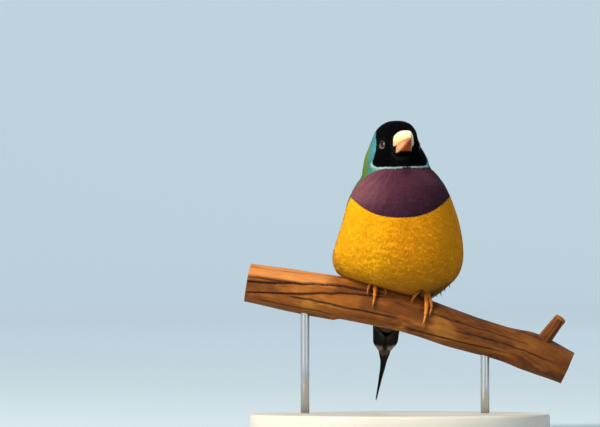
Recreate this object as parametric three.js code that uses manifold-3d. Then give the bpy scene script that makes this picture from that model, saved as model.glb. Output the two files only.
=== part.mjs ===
// A life-size male gouldian finch, fluffed up and upright, gripping a short cut length of branch
// that two short rods hold above an oval base. Millimetres, +Z up. The bird looks along -Y, its
// left side is towards +X, and the origin is the middle of the base's underside.
import * as THREE from "three";
import { mergeVertices } from "three/addons/utils/BufferGeometryUtils.js";
import Module from "manifold-3d";

const wasm = await Module();
wasm.setup();

// Driving sizes
const GAP = 0.3; // between pieces that touch
const SLIVER = 0.04; // corners that move the skin less than this are left out
const FLAT_TURN = THREE.MathUtils.degToRad(4); // how far the body is turned to its left
const HEAD_TURN = THREE.MathUtils.degToRad(18);
const HEAD_PITCH = THREE.MathUtils.degToRad(15); // the bill points this far above level

// The body from crown to tail root, as tilted oval sections. Each row is the section's height,
// sideways shift, forward shift, half width, depth in front, depth behind, tilt and turn (degrees).
const BODY_SECTIONS = [
  [124.7, -1.4, 6.3, 0, 0, 0, 0, 18], // crown
  [124.4, -1.4, 6.2, 2.9, 3.2, 2.9, 0, 18],
  [123.1, -1.5, 6.1, 5.7, 6.6, 5.8, 0, 18],
  [120.6, -1.8, 5.7, 7.9, 9.2, 8.0, 0, 18], // forehead
  [117.4, -2.0, 5.3, 9.1, 10.9, 10.0, 0, 18], // eyes
  [114.0, -2.0, 4.9, 10.5, 11.4, 11.4, 0, 18], // cheeks
  [110.2, -1.6, 4.2, 12.4, 10.9, 12.6, 0, 17], // chin and nape
  [106.2, -1.3, 3.2, 13.6, 11.8, 13.2, 0, 14], // collar
  [102.2, 0.0, 2.6, 15.6, 15.4, 14.2, 0, 10],
  [98.2, 0.0, 2.2, 18.3, 18.8, 15.8, 0, 6], // shoulders
  [92.0, 0.0, 1.8, 21.1, 21.6, 18.2, 2, 4], // breast
  [84.0, 0.3, 1.2, 23.4, 23.8, 20.6, 6, 4],
  [76.0, -0.2, 0.2, 25.4, 25.0, 22.6, 11, 4], // belly, the widest part
  [69.4, -0.9, -1.6, 26.2, 24.6, 22.8, 15, 4],
  [63.9, -0.9, -4.8, 24.4, 22.0, 19.6, 16, 4],
  [59.2, -0.6, -9.0, 19.6, 17.0, 15.8, 17, 4],
  [54.8, -1.4, -14.0, 14.6, 12.0, 11.4, 20, 4], // vent
  [50.2, -2.6, -18.4, 10.2, 8.0, 7.8, 24, 4],
  [45.4, -3.8, -22.0, 7.2, 3.4, 5.0, 26, 4],
  [41.0, -4.7, -24.6, 5.0, 1.2, 3.2, 27, 4],
  [37.6, -5.3, -26.6, 0, 0, 0, 27, 4], // end of the tail coverts
];
// In front of the perch the belly rests on it, and arches up where the left foot comes out.
const BELLY_REST = { sink: 0.3, soft: 0.8, from: 2, to: 12, arch: 3.6, archAt: 8.6, archHalf: 2.8 };
const BODY_SIDES = 36;
const RINGS_PER_SECTION = 1.8;
const HEAD_CUT = 107.6; // heights of the thin cuts that part head, neck and torso
const NECK_CUT = 100.8;

const EYE_RADIUS = 2.5;
const EYE_SECTION = 4.72; // place along the sections, and angle from straight ahead
const EYE_ANGLE = THREE.MathUtils.degToRad(51);
const EYE_SUNK = 1.7; // how deep the ball's middle lies under the feathers
const EYE_SIDEWAYS = 0.7; // how far the eyes look sideways rather than straight out of the face
const LID_RADIUS = 1.85;
const LID_THICKNESS = 0.44;

const BILL_BASE = [10.2, 115.2]; // forward of the head's middle, and height of the gape line
const BILL_LENGTH = 9.8;
const BILL_HALF_WIDTH = 4.1;
const BILL_UPPER_DEPTH = 5.3;
const BILL_LOWER_DEPTH = 3.4;
const BILL_LOWER_WIDTH = 0.8; // as a share of the upper half's width
const BILL_BURIED = 5; // how far the bill's own shape runs back under the face
const NOSTRIL_RADIUS = 0.45;

// The perch: places of its middle line as sideways, backwards, height, and the radius there.
const PERCH_LINE = [
  [-61, 1.5, 60.0, 7.6],
  [-40, 0.6, 56.4, 8.5],
  [-22, 0.0, 53.0, 9.0],
  [0, 0.0, 47.9, 8.3],
  [20, 0.3, 42.0, 7.5],
  [40, 0.8, 36.2, 6.8],
  [53, 0.8, 31.9, 7.8], // knot under the twig
  [67, 0.4, 25.6, 6.6],
];
const PERCH_SIDES = 18;
const PERCH_STEPS = 22;
const TWIG = { from: [53, 0, 31], to: [64.6, -1.5, 46.2], root: 4.2, end: 2.2 };

// Each foot: where its hub sits along the perch, how far up the perch's curve, and its four toes as
// sideways spread at the toe's end and the angle round the perch where toe and claw end.
const FEET = {
  right: {
    hub: -12.8,
    lift: 0.4,
    toes: {
      outer: { spread: -1.4, toe: 48, claw: 27 },
      middle: { spread: 1.7, toe: 26, claw: -6 },
      inner: { spread: 5.4, toe: 60, claw: 38 },
      hind: { spread: 0.6, toe: 166, claw: 192 },
    },
  },
  left: {
    hub: 5.8,
    lift: 2.0,
    toes: {
      outer: { spread: 5.0, toe: 38, claw: 14 },
      middle: { spread: 3.7, toe: 12, claw: -24 },
      inner: { spread: -2.8, toe: 54, claw: 30 },
      hind: { spread: -0.6, toe: 166, claw: 192 },
    },
  },
};
const HUB_ANGLE = 84; // degrees round the perch from its front, so the hub is just before the top
const TOE_RADIUS = 0.88;
const TOE_END_RADIUS = 0.62;
const CLAW_RADIUS = 0.5;
const CLAW_TIP = 0.14;
const TARSUS_RADIUS = 0.95;
const TARSUS_LENGTH = 9;

// The folded wing lies on a sheet of oval sections: height, forward shift, half width, depth behind.
const WING_SHEET = [
  [100, 0.8, 15.4, 13.6],
  [92, 0.6, 20.0, 17.8],
  [84, -0.2, 22.4, 20.6],
  [76, -1.4, 24.8, 22.2],
  [68, -3.4, 25.6, 21.4],
  [60, -9.0, 21.2, 16.8],
  [52, -16.0, 13.0, 11.2],
  [44, -21.5, 8.2, 7.5],
  [36, -26.0, 5.6, 5.6],
];
const VANE_THICKNESS = 0.55;
// Tiers of wing feathers from under to over. Roots and tips are given for the first and the last
// feather as height and angle from the middle of the back; lift is the height above the sheet.
const WING_TIERS = [
  { name: "primaries", count: 6, width: [4.4, 4.6], root: [[82, 62], [76, 44]], tip: [[54, 40], [42, 15]], lift: 0.5 },
  { name: "secondaries", count: 5, width: [6.0, 6.4], root: [[84, 58], [86, 30]], tip: [[57, 44], [56, 11]], lift: 1.0 },
  { name: "tertials", count: 3, width: [6.8, 6.4], root: [[88, 34], [88, 11]], tip: [[60, 22], [63, 8]], lift: 1.4 },
  { name: "greater coverts", count: 6, width: [5.4, 6.4], root: [[91, 68], [92, 15]], tip: [[77, 68], [75, 14]], lift: 1.6 },
  { name: "median coverts", count: 5, width: [5.6, 6.6], root: [[96, 64], [98, 17]], tip: [[85, 68], [84, 15]], lift: 1.9 },
];
const VANE_STEPS = 4;
const VANE_TUCK = 1.6; // how far a feather's root dips under the tier above
const WING_CORE = { top: 95, bottom: 66, back: 10, side: 66, inner: -4, outer: 0.9 };

// The tail: root and end of its middle line as sideways, backwards and height.
const TAIL_ROOT = [-4.4, 21.5, 54];
const TAIL_END = [-6.0, 33.0, 29.5];
const TAIL_PIN_TIP = [-9.2, 39.0, 11.8];
const TAIL_PAIRS = 6;
const TAIL_ROOT_SPREAD = 4.6; // half, at the root
const TAIL_END_SPREAD = 2.5;
const TAIL_STEP = 0.5; // each pair lies this much further under the one before
const TAIL_GRADING = 0.9; // each outer pair is this much shorter
const TAIL_VANE_WIDTH = 4.1;
const TAIL_PIN_WIDTH = 3.0; // of one pin where the blades end

const BASE_HALF = [60, 42];
const BASE_HEIGHT = 7.5;
const BASE_BEVEL = 1.2;
const ROD_RADIUS = 1.75;
const ROD_PLACES = { left: -38, right: 34 };

// Plain helpers
const rad = THREE.MathUtils.degToRad;
const mix = THREE.MathUtils.lerp;
const v3 = (x, y, z) => new THREE.Vector3(x, y, z);

// Rows of numbers read as one smooth curve through them all, at a place counted in rows.
function readRows(rows, place) {
  const at = THREE.MathUtils.clamp(place, 0, rows.length - 1);
  const i = Math.min(Math.floor(at), rows.length - 2);
  const t = at - i;
  const row = (k) => rows[THREE.MathUtils.clamp(k, 0, rows.length - 1)];
  return rows[0].map((_, c) => {
    const [a, b, d, e] = [row(i - 1)[c], row(i)[c], row(i + 1)[c], row(i + 2)[c]];
    const before = (d - a) / 2;
    const after = (e - b) / 2;
    return (
      b * (2 * t ** 3 - 3 * t ** 2 + 1) +
      before * (t ** 3 - 2 * t ** 2 + t) +
      d * (-2 * t ** 3 + 3 * t ** 2) +
      after * (t ** 3 - t ** 2)
    );
  });
}

// Rows whose first number falls steadily, read at a value of that number.
function readAt(rows, value) {
  let i = 0;
  while (i < rows.length - 2 && (rows[i + 1][0] - value) * (rows[0][0] - rows[1][0]) > 0) i++;
  return readRows(rows, i + (rows[i][0] - value) / (rows[i][0] - rows[i + 1][0]));
}

function geometryOf(points, triangles) {
  const g = new THREE.BufferGeometry();
  g.setAttribute("position", new THREE.Float32BufferAttribute(points.flatMap((p) => [p.x, p.y, p.z]), 3));
  g.setIndex(triangles.flat());
  return facingOut(g);
}

// A closed surface turned so that its faces point out, by the sign of its volume.
function facingOut(g) {
  const p = g.getAttribute("position");
  const corner = (i) => v3().fromBufferAttribute(p, g.index.getX(i));
  let volume = 0;
  for (let i = 0; i < g.index.count; i += 3) volume += corner(i).dot(corner(i + 1).cross(corner(i + 2)));
  if (volume < 0) {
    const turned = [];
    for (let i = 0; i < g.index.count; i += 3) turned.push(g.index.getX(i), g.index.getX(i + 2), g.index.getX(i + 1));
    g.setIndex(turned);
  }
  return g;
}

// Closed rings of points joined into a skin, with a point closing each end.
function loft(rings, start, end) {
  const n = rings[0].length;
  const points = [start, ...rings.flat(), end];
  const at = (i, j) => 1 + i * n + (j % n);
  const faces = [];
  for (let j = 0; j < n; j++) {
    faces.push([0, at(0, j + 1), at(0, j)]);
    faces.push([points.length - 1, at(rings.length - 1, j), at(rings.length - 1, j + 1)]);
    for (let i = 0; i < rings.length - 1; i++) {
      faces.push([at(i, j), at(i, j + 1), at(i + 1, j + 1)], [at(i, j), at(i + 1, j + 1), at(i + 1, j)]);
    }
  }
  return geometryOf(points, faces);
}

// A thin solid between two like grids of points, split into triangles alike on both faces.
function slab(top, bottom) {
  const rows = top.length;
  const columns = top[0].length;
  const points = [...top.flat(), ...bottom.flat()];
  const up = (i, j) => i * columns + j;
  const down = (i, j) => rows * columns + i * columns + j;
  const faces = [];
  for (let i = 0; i < rows - 1; i++) {
    for (let j = 0; j < columns - 1; j++) {
      faces.push([up(i, j), up(i + 1, j), up(i + 1, j + 1)], [up(i, j), up(i + 1, j + 1), up(i, j + 1)]);
      faces.push([down(i, j), down(i + 1, j + 1), down(i + 1, j)], [down(i, j), down(i, j + 1), down(i + 1, j + 1)]);
    }
  }
  const rim = [];
  for (let j = 0; j < columns - 1; j++) rim.push([0, j]);
  for (let i = 0; i < rows - 1; i++) rim.push([i, columns - 1]);
  for (let j = columns - 1; j > 0; j--) rim.push([rows - 1, j]);
  for (let i = rows - 1; i > 0; i--) rim.push([i, 0]);
  rim.forEach(([i, j], k) => {
    const [m, n] = rim[(k + 1) % rim.length];
    faces.push([up(i, j), up(m, n), down(m, n)], [up(i, j), down(m, n), down(i, j)]);
  });
  return geometryOf(points, faces);
}

// A round rod along a curve, its radius a function of the share of the length.
function tube(curve, radius, steps, sides) {
  const frames = curve.computeFrenetFrames(steps, false);
  const ring = (i) => {
    const centre = curve.getPointAt(i / steps);
    const r = radius(i / steps);
    return Array.from({ length: sides }, (_, j) => {
      const a = (2 * Math.PI * j) / sides;
      return centre
        .clone()
        .addScaledVector(frames.normals[i], r * Math.cos(a))
        .addScaledVector(frames.binormals[i], r * Math.sin(a));
    });
  };
  const rings = Array.from({ length: steps + 1 }, (_, i) => ring(i));
  return loft(rings, curve.getPointAt(0), curve.getPointAt(1));
}

function merged(geometry) {
  const g = new THREE.BufferGeometry().setAttribute("position", geometry.getAttribute("position"));
  if (geometry.index) g.setIndex(geometry.index);
  return mergeVertices(g, 1e-4);
}

// The same closed surface grown along its normals.
function grown(geometry, by) {
  const g = merged(geometry);
  g.computeVertexNormals();
  const p = g.getAttribute("position");
  const n = g.getAttribute("normal");
  for (let i = 0; i < p.count; i++) {
    p.setXYZ(i, p.getX(i) + by * n.getX(i), p.getY(i) + by * n.getY(i), p.getZ(i) + by * n.getZ(i));
  }
  return g;
}

function solid(geometry) {
  const g = merged(geometry);
  return new wasm.Manifold(
    new wasm.Mesh({
      numProp: 3,
      vertProperties: new Float32Array(g.getAttribute("position").array),
      triVerts: new Uint32Array(g.index.array),
    }),
  );
}

const joined = (solids) => solids.reduce((a, b) => a.add(b));
const largest = (made) => made.decompose().reduce((a, b) => (b.volume() > a.volume() ? b : a));

// A mesh's largest closed shell; shells inside it are left out.
function largestShell(m) {
  const group = Array.from({ length: m.numVert }, (_, i) => i);
  const find = (i) => {
    while (group[i] !== i) i = group[i] = group[group[i]];
    return i;
  };
  for (let i = 0; i < m.triVerts.length; i += 3) {
    group[find(m.triVerts[i])] = find(m.triVerts[i + 1]);
    group[find(m.triVerts[i + 1])] = find(m.triVerts[i + 2]);
  }
  const shells = new Map();
  for (const corner of m.triVerts) {
    const shell = find(corner);
    if (!shells.has(shell)) shells.set(shell, []);
    shells.get(shell).push(corner);
  }
  const corners = [...shells.values()].reduce((a, b) => (b.length > a.length ? b : a));
  const kept = [...new Set(corners)];
  const place = new Map(kept.map((corner, i) => [corner, i]));
  const points = kept.flatMap((i) => [...m.vertProperties.subarray(i * m.numProp, i * m.numProp + 3)]);
  const g = new THREE.BufferGeometry();
  g.setAttribute("position", new THREE.Float32BufferAttribute(points, 3));
  return g.setIndex(corners.map((corner) => place.get(corner)));
}

function meshOf(name, made, colour, roughness, metalness = 0) {
  const shell = largestShell(made.simplify(SLIVER).getMesh());
  const mesh = new THREE.Mesh(shell, new THREE.MeshStandardMaterial({ color: colour, roughness, metalness }));
  mesh.name = name;
  return mesh;
}

// A place given as sideways, forwards and height, turned about the upright axis.
function turned(side, forward, height, turn) {
  return v3(
    side * Math.cos(turn) + forward * Math.sin(turn),
    side * Math.sin(turn) - forward * Math.cos(turn),
    height,
  );
}

// The body's skin: a place along the sections, and an angle from straight ahead to the bird's left.
function bodyPoint(place, angle) {
  const [height, side, forward, halfWidth, front, behind, tilt, turn] = readRows(BODY_SECTIONS, place);
  const out = Math.cos(angle) * (Math.cos(angle) > 0 ? front : behind);
  const centre = v3(side, -forward, height);
  const arm = turned(halfWidth * Math.sin(angle), out * Math.cos(rad(tilt)), -out * Math.sin(rad(tilt)), rad(turn));
  return restOnPerch(centre.add(arm));
}

// A place under the belly is lifted smoothly to the level at which the belly rests.
function restOnPerch(point) {
  const share = perchShare(point.x);
  const top = perchCurve.getPoint(share).z + readRows(PERCH_LINE, share * (PERCH_LINE.length - 1))[3];
  const arch = BELLY_REST.arch * Math.exp(-(((point.x - BELLY_REST.archAt) / BELLY_REST.archHalf) ** 2));
  const below = (top - BELLY_REST.sink + arch - point.z) / BELLY_REST.soft;
  const ahead = 1 - THREE.MathUtils.smoothstep(point.y, BELLY_REST.from, BELLY_REST.to);
  point.z += ahead * BELLY_REST.soft * Math.log(1 + Math.exp(below));
  return point;
}

function bodyGeometry() {
  const last = BODY_SECTIONS.length - 1;
  const count = Math.round(last * RINGS_PER_SECTION);
  const rings = [];
  for (let i = 1; i < count; i++) {
    rings.push(
      Array.from({ length: BODY_SIDES }, (_, j) => bodyPoint((i / count) * last, (2 * Math.PI * j) / BODY_SIDES)),
    );
  }
  return loft(rings, bodyPoint(0, 0), bodyPoint(last, 0));
}

function bodyNormal(place, angle) {
  const step = 0.01;
  const along = bodyPoint(place + step, angle).sub(bodyPoint(place - step, angle));
  const round = bodyPoint(place, angle + step).sub(bodyPoint(place, angle - step));
  return along.cross(round).normalize();
}

// Eyes: a ball sunk in the head, and the lids as a ring raised round it
function eyePlace(side) {
  const surface = bodyPoint(EYE_SECTION, side * EYE_ANGLE);
  const out = bodyNormal(EYE_SECTION, side * EYE_ANGLE);
  if (out.dot(surface.clone().sub(bodyPoint(EYE_SECTION, Math.PI))) < 0) out.negate();
  out.addScaledVector(turned(side, 0, 0, HEAD_TURN), EYE_SIDEWAYS).normalize();
  return { surface, out, centre: surface.clone().addScaledVector(out, -EYE_SUNK) };
}

function ballAt(centre, radius, across, down) {
  return solid(new THREE.SphereGeometry(radius, across, down).translate(centre.x, centre.y, centre.z));
}

function lidRing(side) {
  const { out, centre } = eyePlace(side);
  const forward = Math.sqrt(EYE_RADIUS ** 2 - LID_RADIUS ** 2);
  const place = centre.clone().addScaledVector(out, forward - 0.15);
  const ring = new THREE.TorusGeometry(LID_RADIUS + LID_THICKNESS * 0.7, LID_THICKNESS, 5, 16);
  ring.applyQuaternion(new THREE.Quaternion().setFromUnitVectors(v3(0, 0, 1), out));
  return solid(ring.translate(place.x, place.y, place.z));
}

// Bill: half-round sections that narrow to the tip, above and below the line of the mouth
function billPoint(along, angle, grow = 0) {
  const t = Math.max(0, along / BILL_LENGTH);
  const narrow = Math.max(0, 1 - t ** 1.4) ** 0.9;
  const halfWidth = BILL_HALF_WIDTH * narrow + grow;
  const upper = Math.sin(angle) > 0;
  const depth = (upper ? BILL_UPPER_DEPTH : BILL_LOWER_DEPTH) * Math.max(0, 1 - t ** (upper ? 2.3 : 1.7)) ** 0.85;
  const gape = -0.9 * (1 - Math.min(1, t)) ** 2; // the line of the mouth drops towards the gape
  const side = halfWidth * Math.cos(angle) * (upper ? 1 : BILL_LOWER_WIDTH);
  const rise = gape + (depth + grow) * Math.sign(Math.sin(angle)) * Math.abs(Math.sin(angle)) ** 0.85;
  const forward = BILL_BASE[0] + along * Math.cos(HEAD_PITCH) - rise * Math.sin(HEAD_PITCH);
  const height = BILL_BASE[1] + along * Math.sin(HEAD_PITCH) + rise * Math.cos(HEAD_PITCH);
  const middle = readRows(BODY_SECTIONS, EYE_SECTION);
  return turned(side, forward, height, HEAD_TURN).add(v3(middle[1], -middle[2], 0));
}

function billHalf(upper, grow = 0) {
  const steps = 9;
  const sides = 14;
  const sign = upper ? 1 : -1;
  const parting = upper ? GAP / 2 : -GAP / 2;
  const length = BILL_LENGTH - (upper ? 0 : 0.8) + grow;
  const rings = [];
  for (let i = 0; i <= steps; i++) {
    const along = mix(-BILL_BURIED, length - 0.35, (i / steps) ** 0.8);
    const curved = Array.from({ length: sides + 1 }, (_, j) => billPoint(along, (sign * Math.PI * j) / sides || sign * 1e-6, grow));
    rings.push(curved.map((p) => p.add(v3(0, 0, parting))));
  }
  const middle = (i) => rings[i][0].clone().add(rings[i][sides]).multiplyScalar(0.5);
  const tip = billPoint(length, 0).add(v3(0, 0, parting));
  return loft(rings, middle(0), tip);
}

function nostril(side) {
  const at = billPoint(0.9, side > 0 ? rad(52) : rad(128));
  const inward = billPoint(0.9, rad(90)).sub(at).setZ(0).normalize();
  const curve = new THREE.LineCurve3(at.clone().addScaledVector(inward, -1.5), at.clone().addScaledVector(inward, 0.6));
  return solid(tube(curve, () => NOSTRIL_RADIUS, 1, 8));
}

// The perch's skin: share of its length, angle from its front over its top, height above its wood
const perchCurve = new THREE.CatmullRomCurve3(PERCH_LINE.map(([x, y, z]) => v3(x, y, z)), false, "catmullrom", 0.5);

function perchPoint(share, degrees, above = 0) {
  const centre = perchCurve.getPoint(share);
  const along = perchCurve.getTangent(share);
  const front = v3(0, -1, 0).addScaledVector(along, along.y).normalize();
  const up = front.clone().cross(along);
  const a = rad(degrees);
  const radius = readRows(PERCH_LINE, share * (PERCH_LINE.length - 1))[3];
  const uneven = 1 + 0.035 * Math.sin(3 * a + 9 * share) + 0.025 * Math.sin(5 * a - 14 * share);
  const out = front.multiplyScalar(Math.cos(a)).addScaledVector(up, Math.sin(a));
  return centre.addScaledVector(out, radius * uneven + above);
}

// The share of the perch's length at a sideways place, found by halving.
function perchShare(x) {
  let [low, high] = [0, 1];
  for (let i = 0; i < 30; i++) {
    const middle = (low + high) / 2;
    if (perchCurve.getPoint(middle).x < x) low = middle;
    else high = middle;
  }
  return low;
}

function perchGeometry(above = 0) {
  const rings = [];
  for (let i = 0; i <= PERCH_STEPS; i++) {
    rings.push(Array.from({ length: PERCH_SIDES }, (_, j) => perchPoint(i / PERCH_STEPS, (360 * j) / PERCH_SIDES, above)));
  }
  return loft(rings, perchCurve.getPoint(0), perchCurve.getPoint(1));
}

function perchSolid(above = 0) {
  const twigLine = new THREE.LineCurve3(v3(...TWIG.from), v3(...TWIG.to));
  const twig = solid(tube(twigLine, (t) => mix(TWIG.root, TWIG.end, t ** 0.45) + above, 4, 12));
  return solid(perchGeometry(above)).add(twig);
}

// Feet
function toeCurve(foot, toe, fromAngle, toAngle, radius) {
  const points = [];
  const steps = 7;
  for (let i = 0; i <= steps; i++) {
    const t = i / steps;
    const angle = mix(fromAngle, toAngle, t);
    const share = (angle - HUB_ANGLE) / (toe.claw - HUB_ANGLE);
    const x = foot.hub + toe.spread * Math.sin((Math.PI / 2) * Math.min(1, share * 1.25));
    const lift = foot.lift * Math.cos((Math.PI / 2) * Math.min(1, share * 1.6));
    points.push(perchPoint(perchShare(x), angle, GAP + radius(share) * 0.9 + lift));
  }
  return new THREE.CatmullRomCurve3(points);
}

// A toe swells a little at each joint.
const toeRadius = (t) => mix(TOE_RADIUS, TOE_END_RADIUS, t) * (1 + 0.09 * Math.cos(t * 6 * Math.PI));

function toeSolid(foot, toe, grow = 0) {
  const curve = toeCurve(foot, toe, HUB_ANGLE, toe.toe, toeRadius);
  return solid(tube(curve, (t) => toeRadius(t) + grow, 8, 7));
}

function clawSolid(foot, toe, grow = 0) {
  const towards = Math.sign(toe.claw - toe.toe);
  const radius = readRows(PERCH_LINE, perchShare(foot.hub) * (PERCH_LINE.length - 1))[3];
  const gapAngle = THREE.MathUtils.radToDeg(GAP / radius) * towards;
  const thick = (t) => mix(CLAW_RADIUS, CLAW_TIP, Math.min(1, t) ** 1.3) + grow;
  const curve = toeCurve(foot, toe, toe.toe + gapAngle, toe.claw, () => CLAW_RADIUS);
  return solid(tube(curve, thick, 5, 6));
}

function legSolid(foot, grow = 0) {
  const hub = perchPoint(perchShare(foot.hub), HUB_ANGLE, GAP + TOE_RADIUS + foot.lift);
  const top = hub.clone().add(v3(0, 2.2, TARSUS_LENGTH));
  const tarsus = new THREE.CatmullRomCurve3([hub, hub.clone().lerp(top, 0.5).add(v3(0, -0.4, 0)), top]);
  const pieces = [
    ballAt(hub, TOE_RADIUS * 1.35 + grow, 10, 8),
    solid(tube(tarsus, (t) => mix(TARSUS_RADIUS, TARSUS_RADIUS * 1.2, t) + grow, 5, 9)),
    ...Object.values(foot.toes).map((toe) => toeSolid(foot, toe, grow)),
  ];
  return joined(pieces);
}

// Wings
function wingPoint(side, height, degrees, lift) {
  const [, forward, halfWidth, behind] = readAt(WING_SHEET, height);
  const a = rad(degrees);
  const out = new THREE.Vector2(Math.sin(a) / halfWidth, Math.cos(a) / behind).normalize();
  return turned(
    side * (halfWidth * Math.sin(a) + lift * out.x),
    forward - behind * Math.cos(a) - lift * out.y,
    height,
    FLAT_TURN,
  );
}

// A vane's half width along its length: a short quill, a long even blade and a rounded end.
const vaneShape = (t) => Math.min(1, 0.45 + 2.2 * t) * Math.sqrt(Math.max(0.03, 1 - Math.max(0, (t - 0.72) / 0.28) ** 2.2));

function wingVane(side, root, tip, width, lift) {
  const steps = VANE_STEPS;
  const across = [-1, 0, 1];
  const grid = (thick) =>
    Array.from({ length: steps + 1 }, (_, i) => {
      const t = i / steps;
      const height = mix(root[0], tip[0], t);
      const middle = mix(root[1], tip[1], t ** 1.15);
      const [, , halfWidth, behind] = readAt(WING_SHEET, height);
      const reach = THREE.MathUtils.radToDeg((width / 2) * vaneShape(t)) / mix(behind, halfWidth, middle / 90);
      return across.map((j) => {
        const shingle = 0.32 * j; // the outer edge rides over the next feather
        const ridge = j === 0 ? 0.12 : 0;
        const tuck = VANE_TUCK * (1 - t) ** 3;
        return wingPoint(side, height, middle + j * reach, lift - tuck + shingle + (thick ? VANE_THICKNESS + ridge : 0));
      });
    });
  return solid(slab(grid(true), grid(false)));
}

function wingCore(side) {
  const rows = 5;
  const columns = 5;
  const grid = (lift) =>
    Array.from({ length: rows }, (_, i) => {
      const height = mix(WING_CORE.top, WING_CORE.bottom, i / (rows - 1));
      const round = 8 * Math.sin((Math.PI * i) / (rows - 1)); // the core's ends are narrower than its middle
      return Array.from({ length: columns }, (_, j) =>
        wingPoint(side, height, mix(WING_CORE.back + 8 - round, WING_CORE.side - 8 + round, j / (columns - 1)), lift),
      );
    });
  return solid(slab(grid(WING_CORE.outer), grid(WING_CORE.inner)));
}

function wingSolid(side, torsoGrown) {
  const vanes = WING_TIERS.flatMap(({ count, width, root, tip, lift }) =>
    Array.from({ length: count }, (_, i) => {
      const t = i / (count - 1);
      const between = ([a, b]) => [mix(a[0], b[0], t), mix(a[1], b[1], t)];
      return wingVane(side, between(root), between(tip), mix(...width, t), lift);
    }),
  );
  return largest(joined([wingCore(side), ...vanes]).subtract(torsoGrown));
}

// Tail: pairs of vanes side by side, the outer ones shorter and further under, the middle two drawn
// out into long pins
function tailVane(number) {
  const pair = Math.floor(number / 2);
  const side = number % 2 ? 1 : -1;
  const outward = (pair + 0.5) / TAIL_PAIRS;
  const shorter = pair * TAIL_GRADING;
  const [root, end, pin] = [TAIL_ROOT, TAIL_END, TAIL_PIN_TIP].map(([x, y, z]) => v3(x, y, z));
  root.x += side * outward * TAIL_ROOT_SPREAD;
  end.x += side * outward * TAIL_END_SPREAD;
  end.lerp(root, shorter / root.distanceTo(end));
  pin.x += side * 0.3;
  const under = v3(0, -pair * TAIL_STEP, -pair * TAIL_STEP * 0.4);
  const line = pair ? [root, end] : [root, end, pin.clone().lerp(end, 0.45).add(v3(0.15, 0, 0)), pin];
  const curve = new THREE.CatmullRomCurve3(line.map((p) => p.add(under)));
  const steps = pair ? 4 : 10;
  const bladeEnd = pair ? 1 : 0.52;
  const halfWidth = (t) => {
    const along = Math.min(1, t / bladeEnd) * 0.97;
    const blunt = Math.min(1, 0.45 + 2.2 * along) * Math.sqrt(Math.max(0.1, 1 - Math.max(0, (along - 0.86) / 0.14) ** 2.2));
    const pinWidth = mix(TAIL_PIN_WIDTH, 0.22, Math.max(0, (t - bladeEnd) / (1 - bladeEnd)) ** 0.64);
    return (pair ? blunt * TAIL_VANE_WIDTH : Math.max(blunt * TAIL_VANE_WIDTH * (t < bladeEnd ? 0.9 : 0), pinWidth)) / 2;
  };
  const grid = (thick) =>
    Array.from({ length: steps + 1 }, (_, i) => {
      const t = i / steps;
      const p = curve.getPointAt(t);
      return [-1, 0, 1].map((j) => {
        const shingle = -0.22 * j * side;
        const ridge = j === 0 && thick ? 0.1 : 0;
        const blade = p.clone().add(v3(j * halfWidth(t), 0, 0));
        return blade.add(v3(0, (thick ? VANE_THICKNESS : 0) + ridge + shingle, 0));
      });
    });
  return solid(slab(grid(true), grid(false)));
}

function tailSolid(torsoGrown) {
  const vanes = Array.from({ length: TAIL_PAIRS * 2 }, (_, i) => tailVane(i));
  const core = solid(new THREE.SphereGeometry(1, 12, 8).scale(2.8, 1.3, 6).rotateX(rad(25)).translate(-4.9, 24.4, 46));
  return largest(joined([core, ...vanes]).subtract(torsoGrown));
}

// Stand
function baseSolid() {
  const profile = [
    [0, 0],
    [1 - BASE_BEVEL / 2 / BASE_HALF[0], 0],
    [1, BASE_BEVEL / 2],
    [1, BASE_HEIGHT - BASE_BEVEL],
    [1 - BASE_BEVEL / BASE_HALF[0], BASE_HEIGHT],
    [0, BASE_HEIGHT],
  ].map(([r, z]) => new THREE.Vector2(r, z));
  const turnedBase = new THREE.LatheGeometry(profile, 44).rotateX(Math.PI / 2).scale(BASE_HALF[0], BASE_HALF[1], 1);
  return solid(facingOut(merged(turnedBase)));
}

function rodSolid(x, perchGrown) {
  const top = perchCurve.getPoint(perchShare(x));
  const height = top.z - BASE_HEIGHT - GAP;
  const rod = new THREE.CylinderGeometry(ROD_RADIUS, ROD_RADIUS, height, 18).rotateX(Math.PI / 2);
  const placed = rod.translate(x, top.y, BASE_HEIGHT + GAP + height / 2);
  const pieces = solid(placed).subtract(perchGrown).decompose();
  return pieces.reduce((a, b) => (b.boundingBox().min[2] < a.boundingBox().min[2] ? b : a));
}

// A thin level slab that parts the body at a height
function cutAt(height) {
  return solid(new THREE.BoxGeometry(90, 90, GAP).translate(0, 0, height));
}

// Assembly
const perch = perchSolid();
const perchGrown = perchSolid(GAP);
const legs = Object.fromEntries(Object.entries(FEET).map(([side, foot]) => [side, legSolid(foot).subtract(perchGrown)]));
const feetOf = (foot) => [legSolid(foot, GAP), ...Object.values(foot.toes).map((toe) => clawSolid(foot, toe, GAP))];
const legsGrown = joined(Object.values(FEET).flatMap(feetOf));
const body = bodyGeometry();
const bodyGrown = solid(grown(body, GAP));

const eyeSides = { left: 1, right: -1 };
const sockets = joined(Object.values(eyeSides).map((s) => ballAt(eyePlace(s).centre, EYE_RADIUS + GAP, 14, 10)));
const lids = joined(Object.values(eyeSides).map(lidRing));
const wholeBody = solid(body).add(lids).subtract(sockets).subtract(perchGrown).subtract(legsGrown);
const [torso, neck, head] = wholeBody
  .subtract(cutAt(HEAD_CUT))
  .subtract(cutAt(NECK_CUT))
  .decompose()
  .sort((a, b) => b.volume() - a.volume())
  .slice(0, 3)
  .sort((a, b) => a.boundingBox().min[2] - b.boundingBox().min[2]);

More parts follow.
